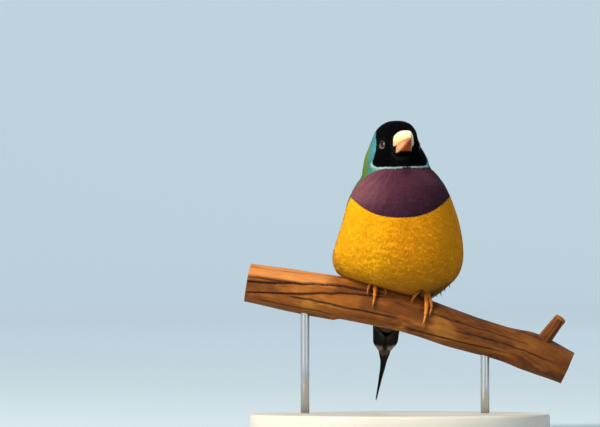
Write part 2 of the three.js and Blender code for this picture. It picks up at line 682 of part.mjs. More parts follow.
const bird = new THREE.Group();
bird.add(meshOf("head", head, "#0b0b0d", 0.8));
bird.add(meshOf("neck", neck, "#5fb3bb", 0.75));
bird.add(meshOf("torso", torso, "#f0b000", 0.8));
for (const [name, side] of Object.entries(eyeSides)) {
  bird.add(meshOf(`eye_${name}`, ballAt(eyePlace(side).centre, EYE_RADIUS, 14, 10), "#15100c", 0.1));
  bird.add(meshOf(`wing_${name}`, wingSolid(side, bodyGrown), "#4f8a3a", 0.7));
  bird.add(meshOf(`leg_${name}`, largest(legs[name]), "#d98a55", 0.5));
  for (const [toe, place] of Object.entries(FEET[name].toes)) {
    const claw = largest(clawSolid(FEET[name], place).subtract(perchGrown));
    bird.add(meshOf(`claw_${name}_${toe}`, claw, "#b98a6a", 0.4));
  }
}
const nostrils = joined([nostril(1), nostril(-1)]);
const upperBill = solid(billHalf(true)).subtract(bodyGrown).subtract(nostrils);
bird.add(meshOf("bill_upper", largest(upperBill), "#efe3c8", 0.3));
bird.add(meshOf("bill_lower", largest(solid(billHalf(false)).subtract(bodyGrown)), "#d9843c", 0.35));
bird.add(meshOf("tail", tailSolid(bodyGrown), "#16130f", 0.6));

const stand = new THREE.Group();
stand.add(meshOf("perch_branch", perch, "#8a5a3a", 0.8));
stand.add(meshOf("stand_base", baseSolid(), "#d9d6cf", 0.45));
for (const [name, x] of Object.entries(ROD_PLACES)) {
  stand.add(meshOf(`stand_rod_${name}`, rodSolid(x, perchGrown), "#b9bbbd", 0.3, 1));
}

const model = new THREE.Group();
model.add(bird, stand);

export default model;
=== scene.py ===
# A museum model of a gouldian finch on a cut length of branch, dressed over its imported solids
import bpy
import numpy as np
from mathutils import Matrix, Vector


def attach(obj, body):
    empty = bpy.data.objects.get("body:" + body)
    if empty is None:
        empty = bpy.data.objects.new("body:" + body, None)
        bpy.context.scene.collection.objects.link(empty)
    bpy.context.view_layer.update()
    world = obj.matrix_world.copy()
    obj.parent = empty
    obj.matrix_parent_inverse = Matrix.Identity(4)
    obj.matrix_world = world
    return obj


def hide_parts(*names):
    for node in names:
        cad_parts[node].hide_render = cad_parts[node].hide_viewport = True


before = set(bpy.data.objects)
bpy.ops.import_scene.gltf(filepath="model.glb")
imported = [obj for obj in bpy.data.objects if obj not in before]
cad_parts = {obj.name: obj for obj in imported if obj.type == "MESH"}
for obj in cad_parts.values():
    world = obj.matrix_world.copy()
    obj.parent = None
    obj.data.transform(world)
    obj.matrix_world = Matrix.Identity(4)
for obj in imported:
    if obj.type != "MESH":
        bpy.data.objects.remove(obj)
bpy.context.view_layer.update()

bpy.context.scene.view_settings.view_transform = "Standard"
mm = 0.001  # every shape below is worked out in millimetres and turned to metres when its mesh is made
dice = np.random.default_rng(11)


# plain helpers

# sRGB hex to linear: c / 12.92 below 0.04045, otherwise ((c + 0.055) / 1.055) ** 2.4
def toLinear(code):
    c = np.array([int(code[i:i + 2], 16) for i in (1, 3, 5)]) / 255
    return np.where(c < 0.04045, c / 12.92, ((c + 0.055) / 1.055) ** 2.4)


def unit(v):
    return v / np.maximum(np.linalg.norm(v, axis=-1, keepdims=True), 1e-9)


# 0 below low, 1 above high, and 3t^2 - 2t^3 between
def ease(x, low, high):
    t = np.clip((x - low) / (high - low), 0, 1)
    return t * t * (3 - 2 * t)


def blend(a, b, share):
    return a + (b - a) * np.asarray(share)[..., None]


# value noise: random heights -1..1 on whole numbers, blended with 3t^2 - 2t^3 in both directions
def softNoise(x, y, seed):
    heights = np.random.default_rng(seed).uniform(-1, 1, (64, 64))
    i, j = np.floor(x).astype(int), np.floor(y).astype(int)
    u, v = x - i, y - j
    u, v = u * u * (3 - 2 * u), v * v * (3 - 2 * v)
    at = lambda a, b: heights[(i + a) % 64, (j + b) % 64]
    return (at(0, 0) * (1 - u) + at(1, 0) * u) * (1 - v) + (at(0, 1) * (1 - u) + at(1, 1) * u) * v


# cubic through rows: b(2t^3-3t^2+1) + before(t^3-2t^2+t) + d(3t^2-2t^3) + after(t^3-t^2),
# with slopes (next - last) / 2
def readRows(rows, place):
    rows = np.asarray(rows, float)
    last = len(rows) - 1
    at = np.clip(place, 0, last)
    i = np.minimum(np.floor(at).astype(int), last - 1)
    t = (at - i)[..., None]
    row = lambda k: rows[np.clip(k, 0, last)]
    a, b, d, e = row(i - 1), row(i), row(i + 1), row(i + 2)
    return (b * (2 * t**3 - 3 * t**2 + 1) + (d - a) / 2 * (t**3 - 2 * t**2 + t)
            + d * (3 * t**2 - 2 * t**3) + (e - b) / 2 * (t**3 - t**2))


# the same curve read at a value of the rows' first number, which falls steadily
def readAt(rows, value):
    first = np.asarray(rows, float)[:, 0]
    return readRows(rows, np.interp(-np.asarray(value, float), -first, np.arange(len(first))))


# quads (i, j), (i, j+1), (i+1, j+1), (i+1, j) of a grid of points; wrap joins the last column to the first
def gridFaces(rows, columns, wrap=False):
    i, j = np.meshgrid(np.arange(rows - 1), np.arange(columns if wrap else columns - 1), indexing="ij")
    k = (j + 1) % columns
    return np.stack([i * columns + j, i * columns + k, (i + 1) * columns + k, (i + 1) * columns + j],
                    -1).reshape(-1, 4)


# a grid (rings, sides) wrapped round, each end closed by a fan to its middle
def closedTube(rings):
    rows, sides = rings.shape[:2]
    points = np.concatenate([rings.reshape(-1, 3), rings[0].mean(0)[None], rings[-1].mean(0)[None]])
    j = np.arange(sides)
    k = (j + 1) % sides
    start = np.stack([np.full(sides, rows * sides), k, j], -1)
    end = np.stack([np.full(sides, rows * sides + 1), (rows - 1) * sides + j, (rows - 1) * sides + k], -1)
    return points, [gridFaces(rows, sides, True), start, end]


# a ring carried along a path: path + r cos(a) side + flat r sin(a) up,
# side = along x hint, up = side x along
def carried(path, radius, hint, sides, flat=1.0):
    along = unit(np.gradient(path, axis=0))
    side = unit(np.cross(along, hint))
    up = np.cross(side, along)
    a = np.linspace(0, 2 * np.pi, sides, endpoint=False)[None, :, None]
    r = np.asarray(radius)[:, None, None] if np.ndim(radius) == 1 else np.asarray(radius)[..., None]
    return path[:, None] + r * (np.cos(a) * side[:, None] + flat * np.sin(a) * up[:, None])


# puts points (mm) and face arrays into one mesh object that rides on the root
def makePiece(name, points, faces, material, nodes=(), colour=None, uv=None, uvName="OFBake",
              purple=None, vectors={}):
    mesh = bpy.data.meshes.new(name)
    corners = np.concatenate([np.asarray(f).ravel() for f in faces]).astype(np.int32)
    sizes = np.concatenate([np.full(len(f), np.shape(f)[1]) for f in faces])
    mesh.vertices.add(len(points))
    mesh.vertices.foreach_set("co", (points * mm).astype(np.float32).ravel())
    mesh.loops.add(len(corners))
    mesh.loops.foreach_set("vertex_index", corners)
    mesh.polygons.add(len(sizes))
    mesh.polygons.foreach_set("loop_start", np.concatenate([[0], np.cumsum(sizes)[:-1]]).astype(np.int32))
    mesh.update(calc_edges=True)
    mesh.shade_smooth()
    for key, tint in (("pigment", colour), ("bibPigment", purple)):
        if tint is not None:
            rgba = np.concatenate([tint, np.ones((len(points), 1))], 1).astype(np.float32)
            layer = mesh.color_attributes.new(name=key, type="FLOAT_COLOR", domain="POINT")
            layer.data.foreach_set("color", rgba.ravel())
    for key, value in vectors.items():
        layer = mesh.attributes.new(name=key, type="FLOAT_VECTOR", domain="POINT")
        layer.data.foreach_set("vector", value.astype(np.float32).ravel())
    if uv is not None:
        mesh.uv_layers.new(name=uvName).data.foreach_set("uv", uv[corners].astype(np.float32).ravel())
    piece = bpy.data.objects.new(name, mesh)
    bpy.context.scene.collection.objects.link(piece)
    mesh.materials.append(material)
    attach(piece, "root")
    if nodes:
        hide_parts(*nodes)
    return piece


def addNode(tree, kind, inputs={}, **settings):
    made = tree.nodes.new(kind)
    for key, value in settings.items():
        setattr(made, key, value)
    for key, value in inputs.items():
        if isinstance(value, bpy.types.NodeSocket):
            tree.links.new(value, made.inputs[key])
        else:
            made.inputs[key].default_value = value
    return made


# a material with its tree and shader; the settings go on the shader's own sockets
def newMaterial(name, settings):
    material = bpy.data.materials.new(name)
    material.use_nodes = True
    tree = material.node_tree
    shader = tree.nodes["Principled BSDF"]
    for key, value in settings.items():
        shader.inputs[key].default_value = value
    return material, tree, shader


def plugIn(tree, shader, sources):
    for key, output in sources.items():
        tree.links.new(output, shader.inputs[key])


# values on a grid of rings, followed by those of the two points that close its ends
def withEnds(values):
    return np.concatenate([values.reshape(-1, values.shape[-1]), values[0, :1], values[-1, :1]])


# the perch's middle line: sideways, backwards, height and radius, and its solids' skin
perch = {
    "line": [[-61, 1.5, 60.0, 7.6], [-40, 0.6, 56.4, 8.5], [-22, 0.0, 53.0, 9.0], [0, 0.0, 47.9, 8.3],
             [20, 0.3, 42.0, 7.5], [40, 0.8, 36.2, 6.8], [53, 0.8, 31.9, 7.8], [67, 0.4, 25.6, 6.6]],
    "twigFrom": [53, 0, 31], "twigTo": [64.6, -1.5, 46.2], "twigRadii": [4.2, 2.2],
    "rings": 460, "sides": 150,
    "length": 132, "meanRadius": 7.6,
    "fibre": 0.16,  # height of the raised grain, mm
    # angles round from the front over the top at start and stop, shares of the length, depth and half width
    "splits": [
        [5, 50, 0.0, 0.40, 1.3, 0.30], [-31, 40, 0.0, 0.42, 1.1, 0.26], [60, 80, 0.0, 0.40, 0.9, 0.22],
        [-14, -20, 0.10, 0.46, 0.8, 0.24], [95, 95, 0.05, 0.33, 0.8, 0.22], [30, 22, 0.50, 0.86, 0.5, 0.2],
        [-8, -2, 0.56, 0.98, 0.6, 0.22], [-40, -34, 0.44, 0.75, 0.7, 0.26], [60, 56, 0.62, 0.97, 0.5, 0.2],
        [140, 140, 0.1, 0.6, 0.9, 0.28], [170, 160, 0.3, 0.9, 0.8, 0.28], [-120, -130, 0.2, 0.8, 0.9, 0.28],
        [20, 26, 0.0, 0.22, 0.6, 0.2], [120, 112, 0.5, 0.95, 0.6, 0.24], [-55, -48, 0.02, 0.3, 0.7, 0.24]],
    # hollows, ground, ridges, splits, painted highlight
    "colours": ["#4c250a", "#844a14", "#b67a30", "#1c0a04", "#c98446"],
}


# the cubic through the line's places, its ends drawn on straight
def perchMiddle(share):
    line = np.array(perch["line"], float)[:, :3]
    line = np.concatenate([[2 * line[0] - line[1]], line, [2 * line[-1] - line[-2]]])
    return readRows(line, 1 + np.clip(share, -0.02, 1.02) * (len(line) - 3))


# middle + (r (1 + 0.035 sin(3a + 9s) + 0.025 sin(5a - 14s)) + above) (cos a front + sin a up)
def perchSkin(share, degrees, above=0.0):
    share, degrees = np.broadcast_arrays(np.asarray(share, float), np.asarray(degrees, float))
    along = unit(perchMiddle(share + 0.0005) - perchMiddle(share - 0.0005))
    front = unit(np.array([0, -1.0, 0]) + along * along[..., 1:2])
    up = np.cross(front, along)
    a = np.radians(degrees)
    radius = readRows(perch["line"], share * (len(perch["line"]) - 1))[..., 3]
    uneven = 1 + 0.035 * np.sin(3 * a + 9 * share) + 0.025 * np.sin(5 * a - 14 * share)
    outward = np.cos(a)[..., None] * front + np.sin(a)[..., None] * up
    return perchMiddle(share) + (radius * uneven + above)[..., None] * outward


shareTable = np.linspace(0, 1, 2001)
shareTableX = perchMiddle(shareTable)[:, 0]
shareTableTop = perchMiddle(shareTable)[:, 2] + readRows(perch["line"],
                                                         shareTable * (len(perch["line"]) - 1))[:, 3]


def perchShare(x):
    return np.interp(x, shareTableX, shareTable)


# points inside the perch's radius are moved straight out from its middle line to radius + margin
def offPerch(points, margin=0.25):
    share = perchShare(points[..., 0])
    share = perchShare(points[..., 0] - 0.27 * (perchMiddle(share)[..., 2] - points[..., 2]))
    middle = perchMiddle(share)
    along = unit(perchMiddle(share + 0.0005) - perchMiddle(share - 0.0005))
    arm = points - middle
    arm = arm - np.sum(arm * along, -1, keepdims=True) * along
    radius = readRows(perch["line"], share * (len(perch["line"]) - 1))[..., 3] * 1.03 + margin
    far = np.linalg.norm(arm, axis=-1)
    push = np.where(far < radius, radius - far, 0)
    return points + unit(arm) * push[..., None], far - radius


# the bird's form, as its solids have it: height, sideways shift, forward shift, half width, depth in front,
# depth behind, tilt and turn in degrees, from crown to the end of the tail coverts
birdForm = {
    "sections": [
        [124.7, -1.4, 6.3, 0, 0, 0, 0, 18],
        [124.4, -1.4, 6.2, 2.9, 3.2, 2.9, 0, 18],
        [123.1, -1.5, 6.1, 5.7, 6.6, 5.8, 0, 18],
        [120.6, -1.8, 5.7, 7.9, 9.2, 8.0, 0, 18],
        [117.4, -2.0, 5.3, 9.1, 10.9, 10.0, 0, 18],
        [114.0, -2.0, 4.9, 10.5, 11.4, 11.4, 0, 18],
        [110.2, -1.6, 4.2, 12.4, 10.9, 12.6, 0, 17],
        [106.2, -1.3, 3.2, 13.6, 11.8, 13.2, 0, 14],
        [102.2, 0.0, 2.6, 15.6, 15.4, 14.2, 0, 10],
        [98.2, 0.0, 2.2, 18.3, 18.8, 15.8, 0, 6],
        [92.0, 0.0, 1.8, 21.1, 21.6, 18.2, 2, 4],
        [84.0, 0.3, 1.2, 23.4, 23.8, 20.6, 6, 4],
        [76.0, -0.2, 0.2, 25.4, 25.0, 22.6, 11, 4],
        [69.4, -0.9, -1.6, 26.2, 24.6, 22.8, 15, 4],
        [63.9, -0.9, -4.8, 24.4, 22.0, 19.6, 16, 4],
        [59.2, -0.6, -9.0, 19.6, 17.0, 15.8, 17, 4],
        [54.8, -1.4, -14.0, 14.6, 12.0, 11.4, 20, 4],
        [50.2, -2.6, -18.4, 10.2, 8.0, 7.8, 24, 4],
        [45.4, -3.8, -22.0, 7.2, 3.4, 5.0, 26, 4],
        [41.0, -4.7, -24.6, 5.0, 1.2, 3.2, 27, 4],
        [37.6, -5.3, -26.6, 0, 0, 0, 27, 4],
    ],
    "coatDepth": [[0, 0.7], [4, 0.6], [7, 0.9], [9, 1.3], [20, 1.3]],  # place along the sections, mm
    "headTurn": 18,
    "headPitch": 15,
    "bodyTurn": 4,
    # in front of the perch the belly rests on it, and arches up where the left foot comes out
    "rest": {"sink": 0.3, "soft": 0.8, "from": 2, "to": 12, "arch": 3.6, "archAt": 8.6, "archHalf": 2.8},
}
lastSection = len(birdForm["sections"]) - 1


# (s cos t + f sin t, s sin t - f cos t, h)
def turned(side, forward, height, turn):
    t = np.radians(turn)
    x = side * np.cos(t) + forward * np.sin(t)
    y = side * np.sin(t) - forward * np.cos(t)
    return np.stack([x, y, height + 0 * side], -1)


# centre + turned(w sin a, out cos tilt, -out sin tilt), out = cos a times the depth in front or behind
def bodyPoint(place, angle):
    place, angle = np.broadcast_arrays(np.asarray(place, float), np.asarray(angle, float))
    r = readRows(birdForm["sections"], place)
    tilt = np.radians(r[..., 6])
    out = np.cos(angle) * np.where(np.cos(angle) > 0, r[..., 4], r[..., 5])
    centre = np.stack([r[..., 1], -r[..., 2], r[..., 0]], -1)
    return restOnPerch(centre
                       + turned(r[..., 3] * np.sin(angle), out * np.cos(tilt), -out * np.sin(tilt),
                                r[..., 7]))


# z + k ln(1 + e^((level - z) / k)) in front of the perch, level = the perch's top - sink + the arch
def restOnPerch(points):
    rest = birdForm["rest"]
    level = np.interp(points[..., 0], shareTableX, shareTableTop) - rest["sink"]
    level = level + rest["arch"] * np.exp(-((points[..., 0] - rest["archAt"]) / rest["archHalf"]) ** 2)
    ahead = 1 - ease(points[..., 1], rest["from"], rest["to"])
    below = np.minimum((level - points[..., 2]) / rest["soft"], 60)
    lifted = points[..., 2] + ahead * rest["soft"] * np.log1p(np.exp(below))
    return np.stack([points[..., 0], points[..., 1], lifted], -1)


# differences of bodyPoint over 0.01 of a section and 0.01 of a radian
def bodySlopes(place, angle):
    down = (bodyPoint(place + 0.01, angle) - bodyPoint(np.maximum(place - 0.01, 0), angle)) / 0.02
    across = (bodyPoint(place, angle + 0.01) - bodyPoint(place, angle - 0.01)) / 0.02
    return down, across


def bodyNormal(place, angle):
    down, across = bodySlopes(np.clip(place, 0.05, lastSection - 0.05), angle)
    return unit(np.cross(down, across))


def coatDepth(place):
    table = np.array(birdForm["coatDepth"])
    return np.interp(place, table[:, 0], table[:, 1])


# markings: skin and coat read the same ones, by place on the body
plumageColours = {
    "mask": "#030304", "band": "#4c8a98", "bandLow": "#4a8276", "paleLine": "#a6cccd", "nape": "#6f8f2e",
    "back": "#346a20",
    "bib": "#4e263a", "bibWarm": "#80505b", "bibDark": "#2f1128", "belly": "#ffb602",
    # bellyWarm, bellyLow and olive brown the belly to the bird's left and downwards: partly its own colour,
    # partly painted shade
    "bellyWarm": "#e99602",
    "bellyLow": "#c07e05", "olive": "#85762a", "vent": "#cfc8ba", "dusk": "#4a3f37", "rump": "#4599a4",
}
paint = {key: toLinear(code) for key, code in plumageColours.items()}
markings = {
    # height and degrees from straight ahead of the mask's back edge, and of the turquoise band's
    "maskBack": [[102, 60], [108.4, 64], [111, 62.5], [113, 66], [115.5, 71], [118, 82], [120, 92],
                 [121.3, 108], [122.2, 140], [123, 200]],
    "bandBack": [[100, 68], [106, 77], [110.6, 83], [115.5, 96], [116.8, 112], [117.8, 140], [118.6, 170],
                 [119, 200]],
    "maskFoot": 106.2,
    "corner": 0.7,  # the larger, the sharper the mask's lower corners
    "bibFoot": 86.0, "bibRise": 8.2, "bibHalf": 20.0,
    "bibSide": 87,  # degrees
}


# smooth minimum: -ln(e^(-k a) + e^(-k b)) / k
def bothInside(a, b, sharp):
    a, b = np.clip(a, -40, 40), np.clip(b, -40, 40)
    return -np.log(np.exp(-sharp * a) + np.exp(-sharp * b)) / sharp


def edgeAt(key, z):
    return np.interp(z, *np.array(markings[key]).T)


# how many mm inside the bib and the mask each place lies, and the dark notch in the middle of the pale line
def bordersAt(x, z, off):
    foot = markings["maskFoot"] + 0.035 * (x + 2)
    mask = bothInside(z - foot, (edgeAt("maskBack", z) - off) * 0.19, markings["corner"])
    notch = np.exp(-((x - 2.6) / 1.8) ** 2)
    top = 106.1 - 0.0103 * np.maximum(0, -1 - x) ** 2.3
    top = np.minimum(top, foot - 0.62 * (1 - notch))
    bibFoot = markings["bibFoot"] + markings["bibRise"] * (np.abs(x + 0.1) / markings["bibHalf"]) ** 2.6
    bibSide = markings["bibSide"] + 1.1 * (98 - z)
    bib = bothInside(top - z, bothInside(z - bibFoot, (bibSide - off) * 0.3, 1.1), 4.0)
    return bib, mask, notch


# golden in front, browner to the bird's left and downwards, partly the feathers' own colour and partly
# painted shade, with faint long folds painted as lighter and darker streaks
def bellyColour(x, z, a):
    # browner to the bird's left and downwards: partly the belly's own colour, partly painted shade
    warm = ease(x + 14, 0, 18) * 0.85 + 0.15 * ease(90 - z, 0, 16)
    belly = blend(paint["belly"], paint["bellyWarm"], warm)
    belly = blend(belly, paint["bellyLow"], ease(80 - z, 0, 22) * 0.6)
    belly = blend(belly, paint["olive"], ease(62 - z, 0, 7) * ease(x, 4, 16) * 0.6)
    # faint long folds, painted as lighter and darker streaks: painted light and shade
    foldLightAndShade = 0.06 * softNoise(a / 13 + 4, z / 30, 7) + 0.03 * softNoise(a / 4, z / 16, 8)
    return belly * (1 + foldLightAndShade)[..., None]


# streaks fan out from the throat, warm towards the bird's right and dark below
def bibColour(x, z, notch):
    fan = np.degrees(np.arctan2(x - 1.5, 113 - z))
    far = np.hypot(x - 1.5, 113 - z)
    streak = 0.6 * softNoise(fan / 1.5 + 60, far / 7, 5) + 0.4 * softNoise(fan / 0.6 + 90, z / 5, 6)
    purple = blend(paint["bib"], paint["bibDark"], np.clip(0.3 * streak + (97 - z) / 16 + x / 40, 0, 1))
    warm = np.clip((-x - 2) / 16 * ease(z, 86, 97) + 0.3 * streak - 0.05, 0, 0.9)
    purple = blend(purple, paint["bibWarm"], warm)
    return blend(purple, paint["bibDark"], np.clip(notch * ease(z, 101, 105), 0, 0.7))


# ground colours, the bib's own colours, and how many mm inside the bib and the mask each place lies
def markingsAt(points, angle):
    x, z = points[..., 0], points[..., 2]
    a = np.degrees((angle + np.pi) % (2 * np.pi) - np.pi)  # from straight ahead, + to the bird's left
    off = np.abs(a)
    noise = softNoise(a / 7, z / 3, 3)
    bib, mask, notch = bordersAt(x, z, off)

    # nape and back, with the blue rump
    ground = blend(paint["back"], paint["nape"], ease(z, 99, 108) * (1 - 0.5 * ease(off, 120, 170)))
    ground = blend(ground, paint["rump"], ease(68 - z + 2 * noise, 0, 7) * ease(off, 95, 120))
    # the belly reaches further round the flanks below the bib
    limit = 82 + 27 * ease(94 - z, 0, 10) - 60 * ease(z - 96, 0, 4)
    front = 1 - ease(off + 2 * noise - limit, -4, 4)
    ground = blend(ground, bellyColour(x, z, a), front * ease(103 - z, 0, 2))
    # turquoise behind the mask and down the neck
    bandEnd = edgeAt("bandBack", z)
    band = (1 - ease(off + 2 * noise, bandEnd - 5, bandEnd + 6)) * ease(z, 100.0, 101.5)
    ground = blend(ground, blend(paint["bandLow"], paint["band"], ease(z, 106, 113)), band)
    line = (1 - ease(np.abs(mask + 0.38), 0.12, 0.6)) * (1 - ease(z, 107, 109)) * (1 - notch)
    ground = blend(ground, paint["paleLine"], line)
    # white below the tail, dusky at the ends of the tail coverts
    under = ease(58 - z, 0, 5) * ease(points[..., 1], -2, 8) * (1 - ease(off, 95, 115))
    ground = blend(ground, paint["vent"], under)
    ground = blend(ground, paint["dusk"], ease(47 - z, 0, 4))
    return ground, bibColour(x, z, notch), np.stack([bib, mask, 0 * bib], -1)


# materials of the bird

# downy keratin barbs: matt, with a faint bloom at grazing angles; the bib's and mask's borders are barbed
def barbMaterial(name, roughness, sheen, softness, specular):
    material, tree, shader = newMaterial(name, {
        "Roughness": roughness, "Sheen Weight": sheen, "Sheen Roughness": 0.5,
        "Specular IOR Level": specular})
    attributes = ("pigment", "bibPigment", "borders", "softNormal")
    ground, purple, borders, lie = (
        addNode(tree, "ShaderNodeAttribute", attribute_name=key) for key in attributes)
    place = addNode(tree, "ShaderNodeTexCoord")
    # fringes of barbs, stretched upwards: noise of 1600 cells a metre sideways, 400 up
    drawn = addNode(tree, "ShaderNodeMapping",
                    {"Vector": place.outputs["Object"], "Scale": (1600, 1600, 400)})
    fringe = addNode(tree, "ShaderNodeTexNoise",
                     {"Vector": drawn.outputs["Vector"], "Scale": 1.0, "Detail": 2.0})
    apart = addNode(tree, "ShaderNodeSeparateXYZ", {"Vector": borders.outputs["Vector"]})
    colour = ground.outputs["Color"]
    for axis, paintOver in (("X", purple.outputs["Color"]), ("Y", (*paint["mask"], 1))):
        ragged = addNode(tree, "ShaderNodeMath", {0: fringe.outputs["Fac"], 1: 0.9, 2: apart.outputs[axis]},
                         operation="MULTIPLY_ADD")
        inside = addNode(tree, "ShaderNodeMapRange",
                         {"Value": ragged.outputs["Value"], "From Min": 0.37, "From Max": 0.53})
        over = addNode(tree, "ShaderNodeMix", {0: inside.outputs["Result"], 6: colour, 7: paintOver},
                       data_type="RGBA")
        colour = over.outputs[2]
    speckle = addNode(tree, "ShaderNodeTexNoise",
                      {"Vector": place.outputs["Object"], "Scale": 1500.0, "Detail": 1.0})
    lighter = addNode(tree, "ShaderNodeMapRange", {
        "Value": speckle.outputs["Fac"], "From Min": 0.3, "From Max": 0.7, "To Min": 0.93, "To Max": 1.06})
    shade = addNode(tree, "ShaderNodeVectorMath", {0: colour, 1: lighter.outputs["Result"]},
                    operation="MULTIPLY")
    # the barbs are shaded mostly as the smooth coat they make up
    geometry = addNode(tree, "ShaderNodeNewGeometry")
    scaled = addNode(tree, "ShaderNodeVectorMath", {0: lie.outputs["Vector"], "Scale": softness},
                     operation="SCALE")
    summed = addNode(tree, "ShaderNodeVectorMath", {0: geometry.outputs["Normal"], 1: scaled.outputs[0]},
                     operation="ADD")
    normal = addNode(tree, "ShaderNodeVectorMath", {0: summed.outputs[0]}, operation="NORMALIZE")
    plugIn(tree, shader, {"Base Color": shade.outputs[0], "Normal": normal.outputs[0]})
    return material


bodyBarbs = barbMaterial("contour_feather_barbs", roughness=0.8, sheen=0.04, softness=5.0, specular=0.12)
headBarbs = barbMaterial("short_velvet_barbs", roughness=0.95, sheen=0.0, softness=2.2, specular=0.04)
print("materials for the plumage made")


# eyes: where they sit, as in the solids; mm, and degrees from straight ahead
eyes = {
    "section": 4.72, "angle": 51, "sunk": 1.75, "radius": 2.15, "opening": 1.32, "lid": 0.19,
    "sideways": 0.7,
    "clear": 2.15,  # no feather of the coat has its root this near
    "pupil": "#050403", "iris": "#22150c", "lidColours": ["#1b1a19", "#77736d"],
}


def eyePlace(side):
    surface = bodyPoint(eyes["section"], side * np.radians(eyes["angle"]))
    out = bodyNormal(np.float64(eyes["section"]), side * np.radians(eyes["angle"]))
    look = unit(out + eyes["sideways"] * turned(np.float64(side), np.float64(0), 0.0, birdForm["headTurn"]))
    return surface, look, surface - look * eyes["sunk"]


# bill: the same form as its solids, finer
bill = {
    "base": [10.2, 115.2], "length": 9.8, "halfWidth": 4.1, "upperDepth": 5.3, "lowerDepth": 3.4,
    "lowerWidth": 0.74, "buried": 4.0,
    "gap": 0.3, "steps": 46, "sides": 44, "nostril": [0.9, 52, 0.55],
    # ivory, cream, orange (darkened as painted shade of the underside), red, nostril (painted shade of the
    # hollows), pale side
    "colours": ["#e2d7b6", "#dcb270", "#94480f", "#862c14", "#5a1a12", "#c08c5e"],
}


# sections (w cos^0.6 a, d sin^0.5 a) that narrow as (1 - t^1.4)^0.9;
# the mouth drops 0.9 mm towards the gape
def billPoint(along, angle):
    t = np.clip(along / bill["length"], 0, 1)
    upper = np.sin(angle) > 0
    halfWidth = bill["halfWidth"] * (1 - t**1.4) ** 0.9
    depth = np.where(upper, bill["upperDepth"] * (1 - t**2.3) ** 0.85,
                     bill["lowerDepth"] * (1 - t**1.7) ** 0.85)
    side = halfWidth * np.sign(np.cos(angle)) * np.abs(np.cos(angle)) ** 0.6 * np.where(upper, 1,
                                                                                        bill["lowerWidth"])
    arched = np.sign(np.sin(angle)) * np.abs(np.sin(angle)) ** 0.5
    rise = -0.9 * (1 - t) ** 2 + depth * arched
    pitch = np.radians(birdForm["headPitch"])
    forward = bill["base"][0] + along * np.cos(pitch) - rise * np.sin(pitch)
    height = bill["base"][1] + along * np.sin(pitch) + rise * np.cos(pitch)
    middle = readRows(birdForm["sections"], np.float64(eyes["section"]))
    return turned(side, forward, height, birdForm["headTurn"]) + np.array([middle[1], -middle[2], 0])


corners = [billPoint(np.float64(0.0), np.float64(angle)) for angle in (0.0, np.pi)]
billMouth = corners[0] * 0.5 + corners[1] * 0.5


# how far out from the bill's middle line a point is, as a share of the bill's half size there
def inBill(points):
    pitch, turn = np.radians(birdForm["headPitch"]), np.radians(birdForm["headTurn"])
    ahead = np.array([np.sin(turn) * np.cos(pitch), -np.cos(turn) * np.cos(pitch), np.sin(pitch)])
    side = np.array([np.cos(turn), np.sin(turn), 0])
    up = np.cross(side, ahead)
    arm = points - billMouth
    s, f, h = arm @ side, arm @ ahead, arm @ up
    deep = np.abs(np.where(h > 0, h / bill["upperDepth"], h / bill["lowerDepth"]))
    return (np.abs(s / bill["halfWidth"]) ** 3 + deep**3) ** (1 / 3) + 10 * (f < -6)


# skin: the body's form drawn in by the coat's depth, with a hollow for each eye
skin = {"rings": 190, "sides": 150}


# bodyPoint - normal (depth + 0.8 e^-(d / 2.2)^4), d the distance to an eye's middle in mm
def skinPiece():
    place = np.linspace(0.06, lastSection - 0.05, skin["rings"])[:, None]
    angle = np.linspace(0, 2 * np.pi, skin["sides"], endpoint=False)[None]
    points = bodyPoint(place, angle)
    place, angle = np.broadcast_arrays(place, angle)
    normal = bodyNormal(place, angle)
    dent = coatDepth(place)
    for side in (1, -1):
        far = np.linalg.norm(points - eyePlace(side)[0], axis=-1)
        dent = dent + 0.8 * np.exp(-(far / 2.2) ** 4)
    marks = markingsAt(points, angle)
    points = points - normal * (0.8 * dent)[..., None]
    made, faces = closedTube(points)
    ground, purple, borders = (
        np.concatenate([m.reshape(-1, 3), [m[0].mean(0), m[-1].mean(0)]]) for m in marks)
    uv = np.stack([(angle / (2 * np.pi)).ravel(), (place / lastSection).ravel()], -1)
    uv = np.concatenate([uv, [[0.5, 0.0], [0.5, 1.0]]])
    faces = [f[:, ::-1] for f in faces]
    soft = np.concatenate([normal.reshape(-1, 3), [[0, 0, 1], [0, 0, -1]]])
    # the skin's markings at 0.8 of their colour: painted shade, as it lies under the coat
    makePiece("skin", made, faces, bodyBarbs, ("head", "neck", "torso"),
              colour=ground * 0.8,
              purple=purple * 0.8, uv=uv, vectors={"borders": borders, "softNormal": soft})


